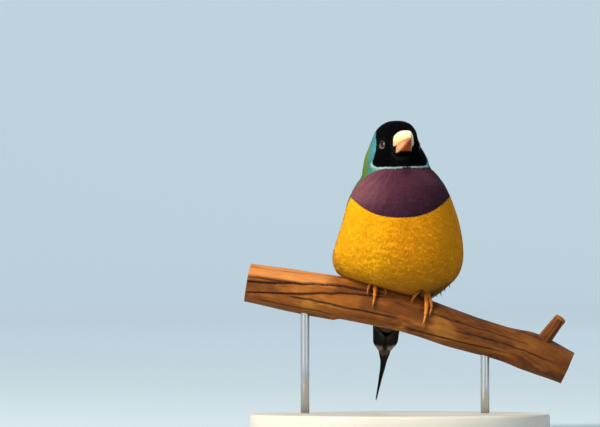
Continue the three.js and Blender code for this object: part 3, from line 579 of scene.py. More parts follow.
# coat: small feathers, each a fan of tapered three-sided barbs, set in rows like shingles
coat = {
    "pieces": [
        {"name": "coat_head", "slot": "head_feathers", "from": 0.15, "to": 7.0, "spacing": 0.78, "barbs": 6,
         "length": [1.3, 2.4], "width": [1.0, 1.5], "barb": 0.24, "lift": 0.10},
        {"name": "coat_collar", "slot": "neck_feathers", "from": 7.0, "to": 9.0, "spacing": 0.95,
         "barbs": 8,
         "length": [2.4, 3.6], "width": [1.6, 2.4], "barb": 0.25, "lift": 0.08},
        {"name": "coat_breast", "slot": "body_feathers", "from": 9.0, "to": 11.4, "spacing": 1.22,
         "barbs": 12,
         "length": [3.6, 4.6], "width": [2.6, 3.2], "barb": 0.27, "lift": 0.07},
        {"name": "coat_belly", "slot": "body_feathers", "from": 11.4, "to": 14.4, "spacing": 1.35,
         "barbs": 13,
         "length": [4.8, 5.4], "width": [3.2, 3.6], "barb": 0.30, "lift": 0.07},
        {"name": "coat_vent", "slot": "body_feathers", "from": 14.4, "to": 19.9, "spacing": 1.3,
         "barbs": 12,
         "length": [5.6, 6.4], "width": [3.4, 2.8], "barb": 0.30, "lift": 0.3},
    ],
    "trianglesPerPiece": 190000,
    "yaw": 4,  # degrees either way
    "tone": 0.03, "barbTone": 0.05,  # how far feathers and barbs differ in lightness
    "wingsCover": [57, 86, 8, 62],  # heights in mm and degrees from the mid back
}


seven = np.array([0, 0, 0, 1, 1, 1, 2])  # the station of each corner of a barb
stations = np.array([0, 0.55, 1.0])  # how far along a barb its root, middle and tip stations are


# down the body, and on the head away from the bill's mouth, both flattened onto the skin
def lieOfCoat(points, normal, down):
    away = unit(points - billMouth)
    share = ease(points[..., 2], 103.0, 109.0)
    lie = unit(down) * (1 - share)[..., None] + away * share[..., None]
    return unit(lie - np.sum(lie * normal, -1, keepdims=True) * normal)


# rows down the body, spaced by the mean profile's length; each row's feathers are spaced
# round it and set off by half
def coatRoots(table):
    probe = np.linspace(table["from"], table["to"], 400)
    profile = np.stack([bodyPoint(probe, a) for a in (0.0, np.pi / 2, np.pi, -np.pi / 2)], 1)
    length = np.concatenate([[0], np.cumsum(np.linalg.norm(np.diff(profile, axis=0), axis=-1).mean(1))])
    rows = max(2, round(length[-1] / (table["spacing"] * 0.87)))
    places, angles = [], []
    for k in range(rows):
        place = np.interp((k + 0.5) / rows * length[-1], length, probe)
        ring = bodyPoint(place, np.linspace(0, 2 * np.pi, 90))
        count = max(3, round(np.linalg.norm(np.diff(ring, axis=0), axis=-1).sum() / table["spacing"]))
        # equal steps round the ring by its own length
        around = np.concatenate([[0], np.cumsum(np.linalg.norm(np.diff(ring, axis=0), axis=-1))])
        steps = (np.arange(count) + 0.5 * (k % 2) + dice.uniform(-0.22, 0.22, count)) / count * around[-1]
        angles.append(np.interp(steps % around[-1], around, np.linspace(0, 2 * np.pi, 90)))
        step = (table["to"] - table["from"]) / rows
        places.append(np.full(count, place) + dice.uniform(-0.22, 0.22, count) * step)
    return np.clip(np.concatenate(places), 0.12, lastSection - 0.1), np.concatenate(angles)


# roots that clear the bill, the eyes and the wings, and aren't in front of the tail
def clearRoots(table):
    place, angle = coatRoots(table)
    root = bodyPoint(place, angle)
    keep = inBill(root) > 0.93
    for side in (1, -1):
        keep &= np.linalg.norm(root - eyePlace(side)[0], axis=-1) > eyes["clear"]
    low, high, inner, outer = coat["wingsCover"]
    fromBack = np.abs(np.degrees((angle + 2 * np.pi) % (2 * np.pi)) - 180)
    keep &= ~((root[:, 2] > low) & (root[:, 2] < high) & (fromBack > inner) & (fromBack < outer))
    keep &= (root[:, 2] > 47) | (np.cos(angle) < 0.2)
    return place[keep], angle[keep], root[keep], bodyNormal(place, angle)[keep]


# how far along and to the side each station of each barb lies: tips at length (1 - 0.26 b^2), half width b
def barbStations(length, width, b, jitter):
    length, width = length[:, None], width[:, None]
    tipAlong = length * (1 - 0.26 * b**2 + 0.07 * jitter[0])
    rootAlong = length * 0.2 * np.abs(b)
    along = np.stack([rootAlong + 0 * tipAlong, rootAlong + (tipAlong - rootAlong) * 0.55, tipAlong], -1)
    tipSide = 0.5 * width * (b + 0.12 * jitter[1])
    aside = np.stack([0.16 * width * b + 0 * tipSide, 0.72 * tipSide, tipSide], -1)
    return along, aside


# v = p down + a across, solved for p and a
def inSlopes(v, down, across):
    pp, pa, aa = np.sum(down * down, -1), np.sum(down * across, -1), np.sum(across * across, -1)
    vp, va = np.sum(v * down, -1), np.sum(v * across, -1)
    return (vp * aa - va * pa) / (pp * aa - pa * pa), (va * pp - vp * pa) / (pp * aa - pa * pa)


# each barb: root, middle and tip at (along, aside) on the skin, raised by height,
# with a three-sided section
def coatPieces(table):
    place, angle, root, normal = clearRoots(table)
    count, barbs = len(place), table["barbs"]
    down, across = bodySlopes(np.clip(place, 0.05, lastSection - 0.05), angle)
    lie = lieOfCoat(root, normal, down)
    yaw = np.radians(dice.uniform(-1, 1, count) * coat["yaw"])[:, None]
    lie = lie * np.cos(yaw) + np.cross(normal, lie) * np.sin(yaw)
    side = np.cross(normal, lie)

    # feathers are shortest beside the eyes and the bill
    grow = 1 + dice.uniform(-0.14, 0.14, count)
    eyeFar = np.min([np.linalg.norm(root - eyePlace(s)[0], axis=-1) for s in (1, -1)], axis=0)
    nearFace = np.minimum(ease(eyeFar, 1.6, 4.5), ease(inBill(root), 0.9, 1.7)) * (place < 7) + (place >= 7)
    size = (0.5 + 0.5 * nearFace) * grow
    share = (place - table["from"]) / (table["to"] - table["from"])
    length, width = (np.interp(share, [0, 1], table[key]) * size for key in ("length", "width"))
    b = np.linspace(-1, 1, barbs)[None]
    jitter = dice.uniform(-1, 1, (3, count, barbs))
    along, aside = barbStations(length, width, b, jitter)
    depth = coatDepth(place)[:, None] * (0.35 + 0.65 * nearFace[:, None])
    dome = table["lift"] * (1 - 0.6 * b**2) + 0.05 * jitter[2] * (table["lift"] / 0.2)
    height = np.stack([-0.6 * depth + 0 * dome, -0.3 * depth + 0.5 * dome, -0.05 + dome], -1)
    height = height - 0.45 * (1 - nearFace)[:, None, None]

    # body feathers follow the skin exactly; on the small round head they follow a ball of its size
    (lp, la), (sp, sa) = (inSlopes(v, down, across) for v in (lie, side))
    round3 = lambda v: v[:, None, None]
    turn = round3(angle) + np.clip(along * round3(la) + aside * round3(sa), -0.6, 0.6)
    if table["to"] > 7.5:
        at = np.clip(round3(place) + along * round3(lp) + aside * round3(sp), 0.05, lastSection - 0.02)
        points = bodyPoint(at, turn)
        normals = bodyNormal(at, turn)
    else:
        bend = 10 + 6 * ease(place, 4, 7)[:, None, None, None]
        arm = along[..., None] * round3(lie) + aside[..., None] * round3(side)
        points = round3(root) + arm - round3(normal) * np.sum(arm**2, -1, keepdims=True) / (2 * bend)
        normals = unit(round3(normal) + arm / bend)
    marks = markingsAt(points, turn)
    points = points + normals * height[..., None]
    tone = 1 + coat["tone"] * dice.uniform(-1, 1, (count, 1, 1, 1))
    tone = tone + coat["barbTone"] * dice.uniform(-1, 1, (count, barbs, 1, 1))

    barb = table["barb"] * (0.75 + 0.25 * size)[:, None, None, None]
    corners, clear = offPerch(barbCorners(points, normals, barb))
    uv = patchOnSkin(place, angle, b)
    # feathers whose roots are deep in the perch are left out
    kept = clear[..., :3].mean((1, 2)) > -1.6
    look = headBarbs if table["name"] == "coat_head" else bodyBarbs
    shapes = [v[kept] for v in (corners, normals[..., seven, :], uv)]
    barbPieces(table["name"], look, shapes, [m[kept] for m in marks], tone[kept])


# a patch 0.003 across for each feather, at its root's place on the skin's own unwrap:
# (angle / turn, place / last)
def patchOnSkin(place, angle, b):
    across = (b * 0.5 + 0.5)[..., None] + np.zeros((len(place), b.shape[-1], 7))
    along = stations[seven] + 0 * across
    centre = np.stack([(angle / (2 * np.pi)) % 1 * 0.99 + 0.003, place / lastSection * 0.99 + 0.003], -1)
    return 0.003 * (np.stack([across, along], -1) - 0.5) + centre[:, None, None]


# three corners at root and middle, p - w/2 s, p + w/2 s and p + 0.275 w n, and one at the tip;
# s = n x along
def barbCorners(points, normals, width):
    sideways = unit(np.cross(normals, unit(points[..., 2:3, :] - points[..., 0:1, :])))[..., :2, :]
    w = width * np.array([0.75, 1.0])[None, None, :, None] / 2
    flat, up = points[..., :2, :], normals[..., :2, :]
    section = np.stack([flat - sideways * w, flat + sideways * w, flat + up * w * 0.55], -2)
    return np.concatenate([section.reshape(*section.shape[:2], 6, 3), points[..., 2:3, :]], 2)


# joins barbs of seven corners into meshes; roots are darker than tips, as their barbs lie in shade
def barbPieces(name, look, shapes, marks, tone):
    corners, soft, uv = shapes
    shade = tone * np.array([0.86, 0.97, 1.0])[seven][None, None, :, None]
    ground, purple = (np.clip(m[..., seven, :] * shade, 0, 1) for m in marks[:2])
    borders = marks[2][..., seven, :]
    barbs = corners.shape[1]
    quads = np.array([[0, 1, 4, 3], [1, 2, 5, 4], [2, 0, 3, 5]])
    tris = np.array([[3, 4, 6], [4, 5, 6], [5, 3, 6], [0, 2, 1]])
    perPiece = coat["trianglesPerPiece"] // (10 * barbs)
    for number, start in enumerate(range(0, len(corners), perPiece)):
        part = slice(start, start + perPiece)
        base = (np.arange(corners[part].shape[0] * barbs) * 7)[:, None, None]
        faces = [(base + quads).reshape(-1, 4), (base + tris).reshape(-1, 3)]
        flat = lambda v: v[part].reshape(-1, v.shape[-1])
        piece = makePiece(f"{name}_{number + 1}", flat(corners), faces, look, colour=flat(ground),
                          purple=flat(purple), uv=flat(uv),
                          vectors={"borders": flat(borders), "softNormal": flat(soft)})
        # real barbs are finer and let light through; the skin casts the body's shadow
        piece.visible_shadow = False
    print(name, len(corners), "feathers,", len(corners) * barbs * 10, "triangles")


# mm inside the bib and inside the mask, for pieces that lie wholly in the mask
insideMask = [-5.0, 5.0, 0.0]

# chin: black feathers that grow over the lower half of the bill, furthest along its middle
chin = {"rows": 17, "across": 19, "from": -2.6, "to": 3.4, "half": 76, "length": 2.0, "barb": 0.28}


# roots at along = to - (to - from)(angle / half)^2 and behind it; barbs point back and out
def chinFeathers():
    row, column = np.meshgrid(np.linspace(0, 1, chin["rows"]), np.linspace(-1, 1, chin["across"]),
                              indexing="ij")
    row, column = row.ravel(), column.ravel()
    column = np.clip(column + dice.uniform(-0.05, 0.05, len(column)), -1, 1)
    front = chin["to"] - (chin["to"] - chin["from"]) * np.abs(column) ** 2.2
    along = chin["from"] + (front - chin["from"]) * row + dice.uniform(-0.12, 0.12, len(row))
    angle = np.radians(-90 + chin["half"] * column)
    root = billPoint(along, angle) - np.array([0, 0, bill["gap"] / 2])
    out = unit(np.cross(billPoint(along, angle + 0.01) - root, billPoint(along + 0.01, angle) - root))
    middle = 0.5 * (billPoint(along, angle * 0) + billPoint(along, angle * 0 + np.pi))
    out = out * np.sign(np.sum(out * (root - middle), -1, keepdims=True))
    back = unit(billPoint(along - 0.2, angle) - billPoint(along + 0.2, angle))
    b = np.linspace(-1, 1, 5)[None, :, None, None]
    q = stations[None, None, :, None]
    long = chin["length"] * (1 + dice.uniform(-0.2, 0.2, (len(root), 5, 1, 1)))
    round3 = lambda v: v[:, None, None]
    points = round3(root) + round3(back) * q * long + round3(np.cross(out, back)) * b * (0.15 + 0.4 * q)
    points = points + round3(out) * (-0.12 + 0.5 * q - 0.1 * q**2)
    normals = unit(round3(out) + 0 * points)
    marks = [np.tile(v, (*points.shape[:3], 1)) for v in (paint["mask"], paint["bib"], insideMask)]
    # the skin's nearest point to each root, out of a net of its points below the bill
    place, turn = (v.ravel()
                   for v in np.meshgrid(np.linspace(0.5, 7, 60), np.radians(np.linspace(-80, 80, 60))))
    net = bodyPoint(place, turn)
    nearest = np.argmin(np.linalg.norm(root[:, None] - net[None], axis=-1), 1)
    uv = patchOnSkin(place[nearest], turn[nearest], b[..., 0, 0])
    shapes = [barbCorners(points, normals, chin["barb"]), normals[..., seven, :], uv]
    barbPieces("coat_chin", headBarbs, shapes, marks, np.ones((len(root), 5, 1, 1)))


# loose tufts that stand off the coat: root and tip (sideways, height) in mm, width, colour at the tip
tufts = {
    "rows": [[11.0, 60.0, 12.6, 53.2, 2.8, "olive"], [13.0, 61.5, 14.9, 54.0, 2.8, "olive"],
             [14.4, 62.0, 16.8, 54.3, 3.0, "olive"], [16.0, 63.5, 18.4, 56.0, 3.0, "olive"],
             [17.6, 65.0, 20.2, 57.6, 3.0, "olive"], [19.2, 67.0, 21.8, 60.2, 3.0, "olive"],
             [10.2, 61.4, 11.0, 55.6, 2.0, "vent"], [11.5, 61.6, 12.5, 55.0, 2.0, "vent"]],
    "barbs": 11, "barb": 0.42,
}


# barbs from a root strip w wide that draw together: root + u (tip - root) + b w / 2 (1 - 0.75 u) sideways
def looseTufts():
    place = np.linspace(7, 17, 240)[:, None]
    angle = np.radians(np.linspace(-100, 100, 240))[None]
    surface = bodyPoint(place, angle)

    def nearest(x, z):
        far = (surface[..., 0] - x) ** 2 + (surface[..., 2] - z) ** 2 + 0.002 * surface[..., 1]
        return np.unravel_index(np.argmin(far), surface.shape[:2])

    b = np.linspace(-1, 1, tufts["barbs"])
    u = stations[None, :, None]
    allPoints, allNormals, colours, spots = [], [], [], []
    for x, z, tipX, tipZ, width, tipTint in tufts["rows"]:
        i, j = nearest(x, z)
        root = surface[i, j]
        spots.append([place[i, 0], angle[0, j]])
        out = bodyNormal(place[i, 0], angle[0, j])
        tip = np.array([tipX, surface[nearest(tipX, tipZ)][1] - 0.4, tipZ])
        sideways = unit(np.cross(out, tip - root)) * width / 2 * b[:, None, None]
        length = 1 - 0.22 * b**2 + 0.1 * dice.uniform(-1, 1, len(b))
        reach = (tip - root) * length[:, None]
        points = root - 1.2 * out + u * (reach[:, None] + 1.1 * out) + (1 - 0.75 * u) * sideways
        allPoints.append(points + np.sin(np.pi * u) * 0.35 * out)
        allNormals.append(out + 0 * points)
        ground = markingsAt(root, angle[0, j])[0]
        colours.append(blend(ground + 0 * points, paint[tipTint],
                             0.6 * u[0, :, 0] ** 3 + np.zeros((len(b), 3))))
    points, normals, ground = np.stack(allPoints), np.stack(allNormals), np.stack(colours)
    marks = [ground, ground, np.tile([-5.0, -5.0, 0.0], (*points.shape[:3], 1))]
    uv = patchOnSkin(*np.array(spots).T, b[None])
    shapes = [barbCorners(points, normals, tufts["barb"]), normals[..., seven, :], uv]
    barbPieces("coat_tufts", bodyBarbs, shapes, marks, np.ones((*points.shape[:2], 1, 1)))


skinPiece()
looseTufts()
for table in coat["pieces"]:
    coatPieces(table)
chinFeathers()


# bill and eyes

# horn of the bill: dense smooth keratin with a soft gloss and faint growth lines
def hornMaterial():
    material, tree, shader = newMaterial("bill_horn_keratin", {
        "Roughness": 0.34, "IOR": 1.54, "Subsurface Weight": 0.15,
        "Subsurface Radius": (0.0012, 0.0005, 0.0003), "Subsurface Scale": 1.0})
    pigment = addNode(tree, "ShaderNodeAttribute", attribute_name="pigment")
    place = addNode(tree, "ShaderNodeTexCoord")
    lines = addNode(tree, "ShaderNodeTexNoise",
                    {"Vector": place.outputs["Object"], "Scale": 1400.0, "Detail": 3.0})
    bump = addNode(tree, "ShaderNodeBump",
                   {"Height": lines.outputs["Fac"], "Strength": 0.12, "Distance": 0.0001})
    plugIn(tree, shader, {"Base Color": pigment.outputs["Color"], "Normal": bump.outputs["Normal"]})
    return material


# ivory above, orange to red below, the orange down the lower half's middle darkened as painted shade; the
# nostril hollows are painted dark as their shade; the feathered underside takes the mask's colour
def billColours(upper, along, angle, hole):
    ivory, cream, orange, red, nostril, paleSide = (toLinear(code) for code in bill["colours"])
    t = np.clip(along / bill["length"], 0, 1)
    if upper:
        edge = 1 - np.abs(np.sin(angle))  # 1 at the cutting edge
        colour = blend(ivory, cream, ease(edge, 0.45, 1) * 0.8 + ease(t, 0.75, 1) * 0.4)
        colour = blend(colour, orange, ease(t, 0.9, 1) * 0.4)
        # the nostril hollows painted dark: painted shade
        return blend(colour, nostril, hole * 0.85)
    centre = np.abs(np.sin(angle)) ** 0.7
    # orange down the middle of the lower half, its own colour darkened as painted shade where it faces down
    colour = blend(paleSide, orange, ease(centre, 0.45, 0.8))
    colour = blend(colour, red, ease(t, 0.45, 0.8) * (0.5 + 0.5 * centre))
    return blend(colour, paint["mask"], (1 - ease(along, 2.3, 2.9)) * ease(centre, 0.6, 0.9))


# billPoint from the buried root to the tip, each half moved off by half the mouth's gap
def billPieces():
    horn = hornMaterial()
    nostrilAt, nostrilAngle, nostrilSize = bill["nostril"]
    for half, slot, short in (("upper", "bill_horn", 0.05), ("lower", "bill_horn_red", 0.8)):
        upper = half == "upper"
        sign = 1 if upper else -1
        reach = bill["length"] - short
        along = (-bill["buried"] + (reach + bill["buried"]) * np.linspace(0, 1, bill["steps"]) ** 0.8)[:,
                                                                                                       None]
        angle = sign * np.linspace(1e-4, np.pi - 1e-4, bill["sides"])[None]
        along, angle = np.broadcast_arrays(along, angle)
        points = billPoint(along, angle)
        # the nostrils are small hollows at the base of the upper half
        hole = np.zeros_like(along)
        if upper:
            for at in (nostrilAngle, 180 - nostrilAngle):
                far = np.linalg.norm(points - billPoint(np.float64(nostrilAt), np.radians(at)), axis=-1)
                hole = np.maximum(hole, np.exp(-(far / nostrilSize) ** 4))
        middle = points.mean(1, keepdims=True)
        points = points + unit(middle - points) * (0.45 * hole)[..., None]
        points = points + np.array([0, 0, sign * bill["gap"] / 2])
        rings, faces = closedTube(points)
        if not upper:
            faces = [f[:, ::-1] for f in faces]
        colour = billColours(upper, along, angle, hole)
        ends = np.stack([colour[0].mean(0), colour[-1].mean(0)])
        makePiece(f"{half}_bill", rings, faces, horn, (f"bill_{half}",),
                  colour=np.concatenate([colour.reshape(-1, 3), ends]))


# clear wet cornea over a dark brown iris: sharp highlights
def corneaMaterial():
    wet, tree, shader = newMaterial("wet_eye_cornea", {
        "Roughness": 0.08, "IOR": 1.38, "Specular IOR Level": 0.25, "Coat Weight": 0.3,
        "Coat Roughness": 0.02})
    pigment = addNode(tree, "ShaderNodeAttribute", attribute_name="pigment")
    plugIn(tree, shader, {"Base Color": pigment.outputs["Color"]})
    return wet


# thin bare skin: grey, matt, finely wrinkled
def lidMaterial():
    lidSkin, tree, shader = newMaterial("bare_lid_skin", {"Roughness": 0.55})
    pigment = addNode(tree, "ShaderNodeAttribute", attribute_name="pigment")
    place = addNode(tree, "ShaderNodeTexCoord")
    grain = addNode(tree, "ShaderNodeTexNoise",
                    {"Vector": place.outputs["Object"], "Scale": 2600.0, "Detail": 3.0})
    bump = addNode(tree, "ShaderNodeBump",
                   {"Height": grain.outputs["Fac"], "Strength": 0.4, "Distance": 0.0001})
    plugIn(tree, shader, {"Base Color": pigment.outputs["Color"], "Normal": bump.outputs["Normal"]})
    return lidSkin


# ball and rim: centre + r (sin p cos a east + sin p sin a north + cos p look), p from the pupil's middle;
# lids: a ring of radius opening + lid (0.8 + wrinkle cos c) with a wavy edge
def eyePieces():
    wet, lidSkin = corneaMaterial(), lidMaterial()
    a = np.linspace(0, 2 * np.pi, 48, endpoint=False)[None, :, None]
    for name, side in (("left", 1), ("right", -1)):
        look, centre = eyePlace(side)[1:]
        east = unit(np.cross(look, [0, 0, 1.0]))
        north = np.cross(east, look)
        shell = lambda r, p: centre + r * (np.sin(p) * (np.cos(a) * east + np.sin(a) * north)
                                           + np.cos(p) * look)

        p = np.linspace(0.02, np.pi - 0.02, 40)[:, None, None]
        ring = eyes["radius"] * np.sin(p[..., 0]) + 0 * a[..., 0]
        iris = blend(toLinear(eyes["pupil"]), toLinear(eyes["iris"]),
                     ease(ring, 0.62, 0.8) * (p[..., 0] < 1.5))
        points, faces = closedTube(shell(eyes["radius"], p))
        makePiece(f"eyeball_{name}", points, [f[:, ::-1] for f in faces], wet, (f"eye_{name}",),
                  colour=np.concatenate([iris.reshape(-1, 3), np.zeros((2, 3))]))

        # short black feathers close over the ball round the lids
        outer = eyes["radius"] + 0.1
        p = np.linspace(np.arcsin(eyes["opening"] / outer), 1.7, 10)[:, None, None]
        rim = shell(outer, p).reshape(-1, 3)
        same = lambda v: np.tile(v, (len(rim), 1))
        makePiece(f"eye_rim_{name}", rim, [gridFaces(10, 48, True)[:, ::-1]], headBarbs,
                  colour=same(paint["mask"]), purple=same(paint["bib"]),
                  vectors={"borders": same(insideMask), "softNormal": unit(rim - centre)})

        reach = np.sqrt(eyes["radius"] ** 2 - eyes["opening"] ** 2)
        turn = np.linspace(0, 2 * np.pi, 72, endpoint=False)[:, None, None]
        across = np.linspace(0, 2 * np.pi, 14, endpoint=False)[None, :, None]
        wrinkle = 1 + 0.10 * np.sin(turn * 22) * (0.5 + 0.5 * np.cos(across))
        r = eyes["opening"] + eyes["lid"] * (0.8 + wrinkle * np.cos(across))
        lid = centre + r * (np.cos(turn) * east + 0.97 * np.sin(turn) * north)
        lid = lid + look * (reach - 0.04 + eyes["lid"] * 0.9 * np.sin(across))
        low = ease(-np.sin(turn[..., 0]) - 0.4 * side * np.cos(turn[..., 0]), -0.2, 1.0) + 0 * across[...,
                                                                                                      0]
        greys = blend(*(toLinear(code) for code in eyes["lidColours"]), low)
        makePiece(f"lids_{name}", lid.reshape(-1, 3), [gridFaces(73, 14, True) % (72 * 14)], lidSkin,
                  colour=greys.reshape(-1, 3))


billPieces()
eyePieces()
print("bill and eyes made")


# wings: vanes lying on a sheet of oval sections, as in the solids, with more feathers
wings = {
    "sheet": [[100, 0.8, 15.4, 13.6], [92, 0.6, 20.0, 17.8], [84, -0.2, 22.4, 20.6], [76, -1.4, 24.8, 22.2],
              [68, -3.4, 25.6, 21.4], [60, -9.0, 21.2, 16.8], [52, -16.0, 13.0, 11.2],
              [44, -21.5, 8.2, 7.5],
              [36, -26.0, 5.6, 5.6]],
    # heights in mm and degrees from the mid back of the roots and tips of the first and last feather
    "tiers": [
        {"count": 9, "width": [3.4, 4.2], "root": [[82, 62], [76, 44]], "tip": [[54, 40], [42, 15]],
         "lift": 0.4, "kind": "flight"},
        {"count": 8, "width": [4.6, 5.4], "root": [[84, 58], [86, 30]], "tip": [[57, 44], [56, 11]],
         "lift": 0.62, "kind": "second"},
        {"count": 3, "width": [6.4, 6.2], "root": [[88, 34], [88, 11]], "tip": [[60, 22], [63, 8]],
         "lift": 0.84, "kind": "tertial"},
        {"count": 10, "width": [3.8, 4.4], "root": [[91, 68], [92, 15]], "tip": [[77, 66], [75, 14]],
         "lift": 0.98, "kind": "covert"},
        {"count": 9, "width": [3.6, 4.4], "root": [[96, 66], [98, 15]], "tip": [[85, 66], [84, 13]],
         "lift": 1.08, "kind": "covert"},
        {"count": 10, "width": [3.2, 3.8], "root": [[99, 64], [101, 12]], "tip": [[90, 64], [90, 11]],
         "lift": 1.16, "kind": "covert"},
    ],
    "thick": 0.16, "steps": 16, "across": 9, "tuck": 1.6,
    "vaneUnit": 0.5,  # mm to one unit of a vane's coordinates, in which its lines are 0.31 apart
    "colours": {"flight": "#241f18", "edge": "#5f7a1e", "second": "#2f5a18", "tertial": "#336a1c",
                "covert": "#38701e",
                "shaft": "#26280f"},
}


# oval section at the height: turned(s (w sin a + lift nx), f - d cos a - lift ny, h)
def wingPoint(side, height, degrees, lift):
    r = readAt(wings["sheet"], height)
    a = np.radians(degrees)
    nx, ny = np.sin(a) / r[..., 2], np.cos(a) / r[..., 3]
    size = np.hypot(nx, ny)
    across = side * (r[..., 2] * np.sin(a) + lift * nx / size)
    forward = r[..., 1] - r[..., 3] * np.cos(a) - lift * ny / size
    return turned(across, forward, height, birdForm["bodyTurn"])


# short quill, even blade, rounded end: min(1, 0.45 + 2.2 t) sqrt(1 - ((t - 0.72) / 0.28)^2.2)
def vaneHalf(t):
    return np.minimum(1,
                      0.45 + 2.2 * t) * np.sqrt(np.maximum(0.02,
                                                           1 - np.maximum(0, (t - 0.72) / 0.28) ** 2.2))


# top grid, bottom grid turned over, and the rim between them
def vaneFaces(rows, columns):
    size = rows * columns
    top = gridFaces(rows, columns)
    border = np.concatenate([np.arange(columns - 1), columns * np.arange(rows - 1) + columns - 1,
                             size - 1 - np.arange(columns - 1), (columns * np.arange(rows - 1, 0, -1))])
    after = np.roll(border, -1)
    rim = np.stack([border, border + size, after + size, after], -1)
    return top, top[:, ::-1] + size, rim


# ground colour, paler outer edge and dark shaft, each feather a little lighter or darker, and darkest at
# its root as painted shade
def featherPigment(kind, u, t, toneAndRootShade):
    tint = {key: toLinear(code) for key, code in wings["colours"].items()}
    if kind in ("flight", "second"):
        colour = blend(tint[kind], tint["edge"], ease(u, 0.62, 0.95) * (0.85 if kind == "flight" else 0.4))
        colour = blend(colour, tint["flight"], ease(-u, -0.2, 0.8) * 0.6)
    else:
        colour = blend(tint[kind], tint["edge"], ease(np.abs(u) + 0.5 * t, 0.95, 1.45) * 0.3)
    colour = blend(colour, tint["shaft"], (1 - ease(np.abs(u), 0.03, 0.12)) * 0.35)
    return colour * toneAndRootShade


# barbs zipped flat into a vane: satin, with fine oblique lines about 0.16 mm apart
def vaneMaterial():
    material, tree, shader = newMaterial("flight_feather_vane",
                                         {"Roughness": 0.7, "Specular IOR Level": 0.15})
    pigment = addNode(tree, "ShaderNodeAttribute", attribute_name="pigment")
    vaneUv = addNode(tree, "ShaderNodeUVMap", uv_map="vane")
    lines = addNode(tree, "ShaderNodeTexWave",
                    {"Vector": vaneUv.outputs["UV"], "Scale": 1.0, "Distortion": 0.6, "Detail": 1.0},
                    wave_type="BANDS", bands_direction="Y")
    tone = addNode(tree, "ShaderNodeMapRange",
                   {"Value": lines.outputs["Fac"], "To Min": 0.8, "To Max": 1.12})
    shade = addNode(tree, "ShaderNodeVectorMath", {0: pigment.outputs["Color"], 1: tone.outputs["Result"]},
                    operation="MULTIPLY")
    bump = addNode(tree, "ShaderNodeBump",
                   {"Height": lines.outputs["Fac"], "Strength": 0.35, "Distance": 0.0001})
    plugIn(tree, shader, {"Base Color": shade.outputs[0], "Normal": bump.outputs["Normal"]})
    return material


vaneBarbs = vaneMaterial()


# stacks like grids of feathers (feather, row, column) into one mesh
def joinVanes(name, tops, bottoms, colours, uvs, nodes):
    count, rows, columns = tops.shape[:3]
    points = np.concatenate([tops.reshape(count, -1, 3), bottoms.reshape(count, -1, 3)], 1)
    top, bottom, rim = vaneFaces(rows, columns)
    base = (np.arange(count) * 2 * rows * columns)[:, None, None]
    faces = [(base + f).reshape(-1, 4) for f in (top, bottom, rim)]
    colour = np.concatenate([colours.reshape(count, -1, 3)] * 2, 1)
    uv = np.concatenate([uvs.reshape(count, -1, 2)] * 2, 1)
    return makePiece(name, points.reshape(-1, 3), faces, vaneBarbs, nodes,
                     colour=colour.reshape(-1, 3),
                     uv=uv.reshape(-1, 2), uvName="vane")


# each feather: from root to tip on the sheet, middle + u reach to the sides, raised by lift (u, t)
def wingPiece(name, side):
    t = np.linspace(0, 1, wings["steps"])[None, :, None]
    u = np.linspace(-1, 1, wings["across"])[None, None, :]
    tops, bottoms, colours, uvs = [], [], [], []
    for number, tier in enumerate(wings["tiers"]):
        share = np.linspace(0, 1, tier["count"])[:, None, None]
        rough = np.random.default_rng(40 + number)
        between = lambda ends, k: ends[0][k] + (ends[1][k] - ends[0][k]) * share
        wander = rough.uniform(-1, 1, (tier["count"], 1, 1))
        (rootHeight, rootAngle), (tipHeight, tipAngle) = (
            [between(tier[key], k) for k in (0, 1)] for key in ("root", "tip"))
        height = rootHeight + (tipHeight + 0.9 * wander - rootHeight) * t + 0 * u
        middle = rootAngle + (tipAngle - rootAngle) * t**1.15 + 0 * u
        middle = middle + 1.2 * rough.uniform(-1, 1, (tier["count"], 1, 1)) * t
        width = tier["width"][0] + (tier["width"][1] - tier["width"][0]) * share
        ragged = 1 + 0.08 * softNoise(t * 9 + 7 * share, u * 2 + number, 60 + number)
        r = readAt(wings["sheet"], height)
        radius = r[..., 3] + (r[..., 2] - r[..., 3]) * middle / 90
        reach = np.degrees(width / 2 * vaneHalf(t) * ragged / radius)
        lift = tier["lift"] - wings["tuck"] * (1 - t) ** 3
        lift = lift + 0.16 * u + 0.10 * (1 - np.abs(u)) - 0.16 * u**2
        # the front edge dips under the flank's feathers, and the top under the mantle's
        sunk = np.maximum(ease(middle + u * reach, 46, 68), 1 - ease(100 - height, 0, 13))
        lift = lift * (1 - sunk) + (0.06 * number - 0.7) * sunk
        thick = wings["thick"] * (1 - 0.55 * u**2)
        tops.append(wingPoint(side, height, middle + u * reach, lift + thick))
        bottoms.append(wingPoint(side, height, middle + u * reach, lift))
        toneAndRootShade = 1 + 0.14 * rough.uniform(-1, 1, (tier["count"], 1, 1, 1))
        # feathers darken towards their roots: painted shade where each root lies under the feathers above
        # it
        toneAndRootShade = toneAndRootShade * (0.55 + 0.45 * ease(t, 0.1, 0.8))[..., None]
        colours.append(featherPigment(tier["kind"], u + 0 * t + 0 * share, t + 0 * u + 0 * share, toneAndRootShade))
        length = np.abs(rootHeight - tipHeight)
        oblique = (t * length - np.abs(u) * width * 0.55) / wings["vaneUnit"]
        uvs.append(np.stack([u * width / 2 + 0 * t, oblique], -1))
    tops, bottoms, colours, uvs = (np.concatenate(a) for a in (tops, bottoms, colours, uvs))
    if side > 0:
        tops, bottoms = bottoms, tops
    joinVanes(name, tops, bottoms, colours, uvs, (name.replace("plumes", "wing"),))


wingPiece("plumes_left", 1)
wingPiece("plumes_right", -1)
print("wings made")


